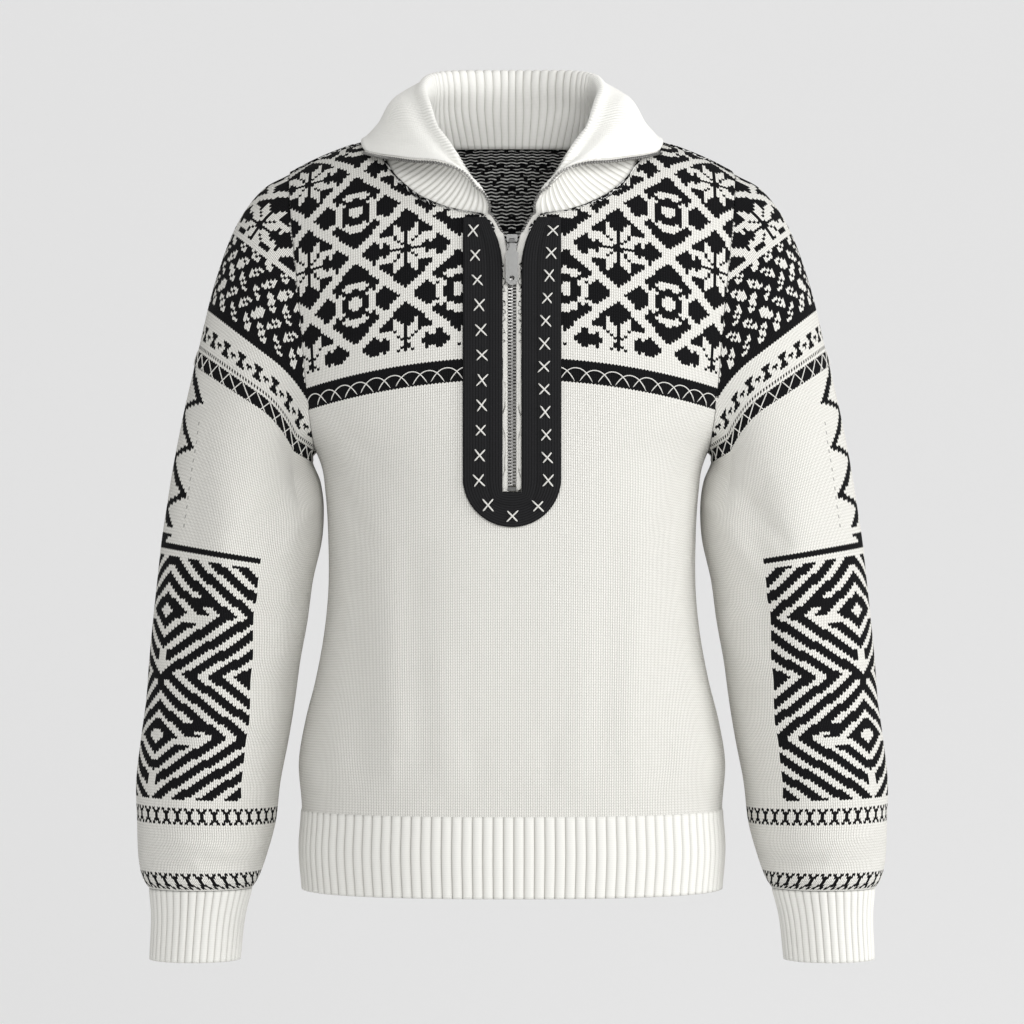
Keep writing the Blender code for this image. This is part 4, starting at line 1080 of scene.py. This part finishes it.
# points over a band of knitting, for places counted in millimetres across and along the rows
def onBand(grid, low, p, q, out):
    away = gridNormals(grid)
    away = away * np.sign(((grid - grid.mean(axis=(0, 1))) * away).sum())
    i = np.clip((q - low) / trellis["rowStep"], 0, grid.shape[0] - 1.001)
    j = np.clip(p / knit["leg"] + (grid.shape[1] - 1) / 2, 0, grid.shape[1] - 1.001)
    row, column = i.astype(int), j.astype(int)
    a, b = (i - row)[:, None], (j - column)[:, None]
    spots = []
    for field in (grid, away):
        near = (1 - b) * field[row, column] + b * field[row, column + 1]
        far = (1 - b) * field[row + 1, column] + b * field[row + 1, column + 1]
        spots.append((1 - a) * near + a * far)
    points = spots[0] + out[:, None] * spots[1]
    # what runs past the seam is cut off
    steps = np.linalg.norm(np.diff(spots[0], axis=0), axis=1)
    kept = np.nonzero(steps > 0.25)[0]
    return points[kept[0] : kept[-1] + 2] if len(kept) > 2 else None


def bodyBandGrid(side, low, high):
    heights = np.arange(low, high, trellis["rowStep"])
    right = panelGrid(side, knit["leg"], heights, trellis["frontLegs"])
    right[..., 1] = bodyY(right[..., 0], right[..., 2], side)
    return np.concatenate((right[:, :0:-1] * mirrorX, right), axis=1)


# each arc springs from the band's lower edge and crosses its neighbours
def arcStrands(side):
    low, high = yoke["band"]
    first = low - trellis["margin"]
    grid = bodyBandGrid(side, first, high + trellis["margin"])
    t = np.linspace(-1, 1, 15)
    strands = []
    for k in range(-12, 13):
        middle = (k + 0.5) * trellis["arcPitch"]
        if side < 0 and abs(middle) < trellis["clearOfFacing"]:
            continue
        p = middle + t * trellis["arcWide"] / 2 + 0.5 * math.sin(k * 1.7)
        q = low + 0.6 + trellis["arcTall"] * (1 - np.abs(t) ** 2.2) + 0.4 * math.sin(k * 2.9)
        out = trellis["thick"] * (1.1 + 0.9 * (t > 0)) - 0.8 * np.abs(t) ** 14
        strands.append(onBand(grid, first, p, q, out))
    return [path for path in strands if path is not None]


# a steep strand and a shallow one cross in each unit
def slantStrands(mirror):
    low = sleeve["bandStart"] + bands["trellis"][0]
    first = low - trellis["margin"]
    heights = np.arange(first, low + 24, trellis["rowStep"])
    grid = sleeveGrid(SleeveForm(), knit["leg"], heights, trellis["armLegs"])
    grid[..., 0] *= mirror
    t = np.linspace(0, 1, 10)
    strands = []
    for k in range(-14, 15):
        base = k * trellis["slantPitch"]
        for start, end, lift in (((0, 0.5), (11.0, 12.5), 1.0), ((5.8, 12.5), (14.2, 0.5), 1.9)):
            p = base + start[0] + (end[0] - start[0]) * t + 0.4 * math.sin(k * 2.1)
            q = low + start[1] + (end[1] - start[1]) * t
            out = trellis["thick"] * lift - 0.8 * np.abs(2 * t - 1) ** 14
            strands.append(onBand(grid, first, p, q, out))
    return [path for path in strands if path is not None]


for name, strands in (
    ("front_trellis", arcStrands(-1)),
    ("back_trellis", arcStrands(1)),
    ("sleeve_right_trellis", slantStrands(-1)),
    ("sleeve_left_trellis", slantStrands(1)),
):
    yarnPiece(name, strands, trellis["thick"])
    print(name, "worked in", len(strands), "strands")


zipper = {
    "foot": -288.4, "slider": -84.0, "sliderLength": 13.0, "teethHalf": 3.2, "tapeGap": 0.5, "openTape": 1.3,
    "sink": 1.0, "parting": ((-76.8, 3.4), (-73.5, 6.2), (-67.0, 9.6), (-61.0, 13.4)), "tapeThick": 1.1,
    "pitch": 1.35, "toothLong": 1.75, "toothThick": 2.5, "openPitch": 2.65, "toothRound": 0.5, "openTooth": 2.3,
    "taper": 0.8, "firstTooth": 4.6, "openFrom": 14.0, "steps": 320,
}


# the right half of the zip from its foot up to the collar's corner: tape, teeth and outward direction
def zipPath():
    closed = np.linspace(zipper["foot"], zipper["slider"] - zipper["sliderLength"] / 2, 30)
    places = [(z, 0.0) for z in closed] + list(zipper["parting"])
    z, x = np.array(places).T
    tapeX = np.array([float(slotHalf(height)) for height in z]) - zipper["tapeGap"]
    depth = -zipper["sink"] * np.ones(len(z))
    cloth, teeth = onFront(tapeX, z, depth), onFront(x + zipper["teethHalf"] + seamGap, z, depth)
    normals = bodyNormal(tapeX, z, -1)
    middle = (collarBase - (rib["thick"] / 2 + 0.3) * collarUnder)[:, -1]
    out = collarUnder[:, -1]
    runs = unit(np.gradient(middle, axis=0))
    beyond = unit(np.cross(runs, out))
    towards = collarBase[:, -1] - collarBase[:, -6]
    beyond *= np.sign((towards * beyond).sum(axis=1, keepdims=True))
    pick = list(range(4, collar["rows"], 3)) + [collar["rows"] - 1]
    openCloth = middle[pick] + zipper["tapeGap"] * beyond[pick]
    openTeeth = openCloth + zipper["openTape"] * beyond[pick]
    cloth, teeth = np.vstack((cloth, openCloth)), np.vstack((teeth, openTeeth))
    normals = np.vstack((normals, out[pick]))
    at = np.linspace(0, len(cloth) - 1, zipper["steps"])
    index = np.arange(len(cloth))
    split = runLength(teeth)[len(closed) - 1]
    return [smoothCurve(index, line, at) for line in (cloth, teeth, normals)] + [split]


def tapeFinish():
    material, shader, wire = startFinish("woven_zip_tape", 0.8)
    u, v = stitchPlace(wire)
    ribs = abs((v * 1.6 + u * 0.5).fract() * 2 - 1)
    # painted shade: the tape darkens in the grooves of its woven ribs, where the bump is low
    mixColour(ribs, (0.60, 0.59, 0.56, 1), (0.78, 0.77, 0.73, 1)).into(shader.inputs["Base Color"])
    addRelief(wire, shader, ribs, 0.0003, 0.5)
    return material


def metalFinish(name, colour, roughness):
    material, shader, wire = startFinish(name, roughness, 1.0)
    cloud = noise(wire, 420.0, 4.0)
    mixColour(cloud, [c * 0.8 for c in colour[:3]] + [1], colour).into(shader.inputs["Base Color"])
    (cloud * 0.2 + (roughness - 0.1)).into(shader.inputs["Roughness"])
    addRelief(wire, shader, cloud, 0.00008, 0.3)
    return material


zipMetal = metalFinish("zip_teeth_metal", (0.34, 0.335, 0.325, 1), 0.34)
sliderMetal = metalFinish("slider_metal", (0.22, 0.22, 0.215, 1), 0.36)
tapeCloth = tapeFinish()
zipCloth, zipTeeth, zipOut, closedLength = zipPath()


def toothRow(bm, spots, runs, sides, outs, outer, inward):
    size = Vector((zipper["toothLong"], inward - outer, zipper["toothThick"]))
    for spot, run, side, out in zip(spots, runs, sides, outs):
        centre = Vector(spot + side * (outer + inward) / 2)
        turn = Matrix((Vector(run), Vector(side), Vector(out))).transposed()
        for vert in bmesh.ops.create_cube(bm, size=1.0)["verts"]:
            local = vert.co * size
            if vert.co.y > 0:
                local.z *= zipper["taper"]
            vert.co = (centre + turn @ local) * mm


def teethPiece(name, node, mirror, parted):
    bm = bmesh.new()
    length = runLength(zipTeeth)
    if parted:
        at = np.arange(closedLength + zipper["openFrom"], length[-1] - 0.5, zipper["openPitch"])
        outer, inward = 0.0, zipper["openTooth"]
    else:
        # the two sides' teeth lie by turns
        first = zipper["firstTooth"] + (zipper["pitch"] if mirror > 0 else 0.0)
        at = np.arange(first, closedLength - 0.8, zipper["pitch"] * 2)
        outer, inward = -0.2, zipper["teethHalf"] + seamGap + 0.9
    flip = np.array((mirror, 1.0, 1.0))

    def sample(line):
        return np.stack([np.interp(at, length, line[:, k]) for k in range(3)], axis=1)

    sides, runs = unit(sample(zipTeeth - zipCloth)), unit(sample(np.gradient(zipTeeth, axis=0)))
    across = np.cross(runs, sides)
    outs = unit(across) * np.sign((across * unit(sample(zipOut))).sum(axis=1, keepdims=True))
    toothRow(bm, sample(zipTeeth) * flip, runs * flip, sides * flip, outs * flip, outer, inward)
    bevel = {"offset": zipper["toothRound"] * mm, "segments": 2, "profile": 0.5, "affect": "EDGES", "material": -1}
    bmesh.ops.bevel(bm, geom=list(bm.edges), **bevel)
    bmesh.ops.recalc_face_normals(bm, faces=bm.faces)
    piece = addPiece(name, bm, zipMetal)
    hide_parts(node)
    return piece


shares = np.linspace(-0.4, 1.0, 8)[None, :, None]
for side, mirror in (("right", -1), ("left", 1)):
    strip = zipCloth[:, None] + shares * (zipTeeth - zipCloth)[:, None]
    strip[..., 0] *= mirror
    tape = clothPiece(f"zip_tape_{side}_cloth", strip, tapeCloth)
    thicken(tape, zipper["tapeThick"], 0.0)
    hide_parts(f"zip_tape_{side}")
    teeth = [
        teethPiece(f"zip_teeth_{side}_open", f"zip_teeth_{side}", mirror, True),
        teethPiece(f"zip_teeth_{side}_closed", "zip_chain", mirror, False),
    ]
    cut = {"flat": (0.012, 0.40), "area": 0.0018, "held": "stretched"}
for node in ("slider", "pull_tab", "zip_stop"):
    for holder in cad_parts[node].material_slots:
        holder.material = sliderMetal
print("zip set in")


studio = {
    "camera": (0.0, -3.4, -0.306), "view": 14.6, "aim": (0, 0, -0.32), "air": 0.40,
    "wide": 40.0, "floor": -1.25, "floorDeep": 11.0, "bend": 3.0, "sweep": 27.0, "near": -9.0,
    "paper": (0.62, 0.62, 0.62, 1), "paperGlow": 0.35,
    "lights": (
        ("key_light", (0.9, -3.0, 1.1), 1.4, 54),
        ("side_light", (3.0, -1.1, 0.5), 1.3, 60),
        ("fill_light", (-2.4, -2.6, 0.5), 2.2, 15),
    ),
}


# a wide floor that curves up into a far wall behind
def studioSweep(material):
    bm = bmesh.new()
    bmesh.ops.create_grid(bm, x_segments=1, y_segments=60, size=0.5)
    deep, bend = studio["floorDeep"], studio["bend"]
    for vert in bm.verts:
        run = (vert.co.y + 0.5) * studio["sweep"]
        turn = min(max(run - deep, 0.0) / bend, math.pi / 2)
        rise = max(0.0, run - deep - bend * math.pi / 2)
        vert.co.x *= studio["wide"]
        vert.co.y = min(run, deep) + studio["near"] + bend * math.sin(turn)
        vert.co.z = studio["floor"] + bend * (1 - math.cos(turn)) + rise
    for face in bm.faces:
        face.smooth = True
    addPiece("studio_sweep", bm, material, staged=True)


def softLight(name, place, size, power):
    light = bpy.data.lights.new(name, "AREA")
    light.energy, light.size = power, size
    lamp = bpy.data.objects.new(name, light)
    lamp.location = place
    lamp.rotation_euler = (Vector(studio["aim"]) - Vector(place)).to_track_quat("-Z", "Y").to_euler()
    bpy.context.scene.collection.objects.link(lamp)


paper, shader, wire = startFinish("pale_studio_paper", 0.95)
shader.inputs["Base Color"].default_value = studio["paper"]
shader.inputs["Emission Color"].default_value = (1, 1, 1, 1)
shader.inputs["Emission Strength"].default_value = studio["paperGlow"]
studioSweep(paper)
for light in studio["lights"]:
    softLight(*light)
world = bpy.data.worlds.new("studio_air")
world.use_nodes = True
air = world.node_tree.nodes["Background"]
air.inputs["Color"].default_value = (1, 1, 1, 1)
air.inputs["Strength"].default_value = studio["air"]
bpy.context.scene.world = world
bpy.context.scene.view_settings.view_transform = "Standard"

lens = bpy.data.cameras.new("studio_camera")
lens.sensor_fit = "HORIZONTAL"
lens.angle = math.radians(studio["view"])
lens.clip_end = 50
camera = bpy.data.objects.new("studio_camera", lens)
camera.location = studio["camera"]
camera.rotation_euler = (math.pi / 2, 0, 0)
bpy.context.scene.collection.objects.link(camera)
bpy.context.scene.camera = camera
print("studio lit")
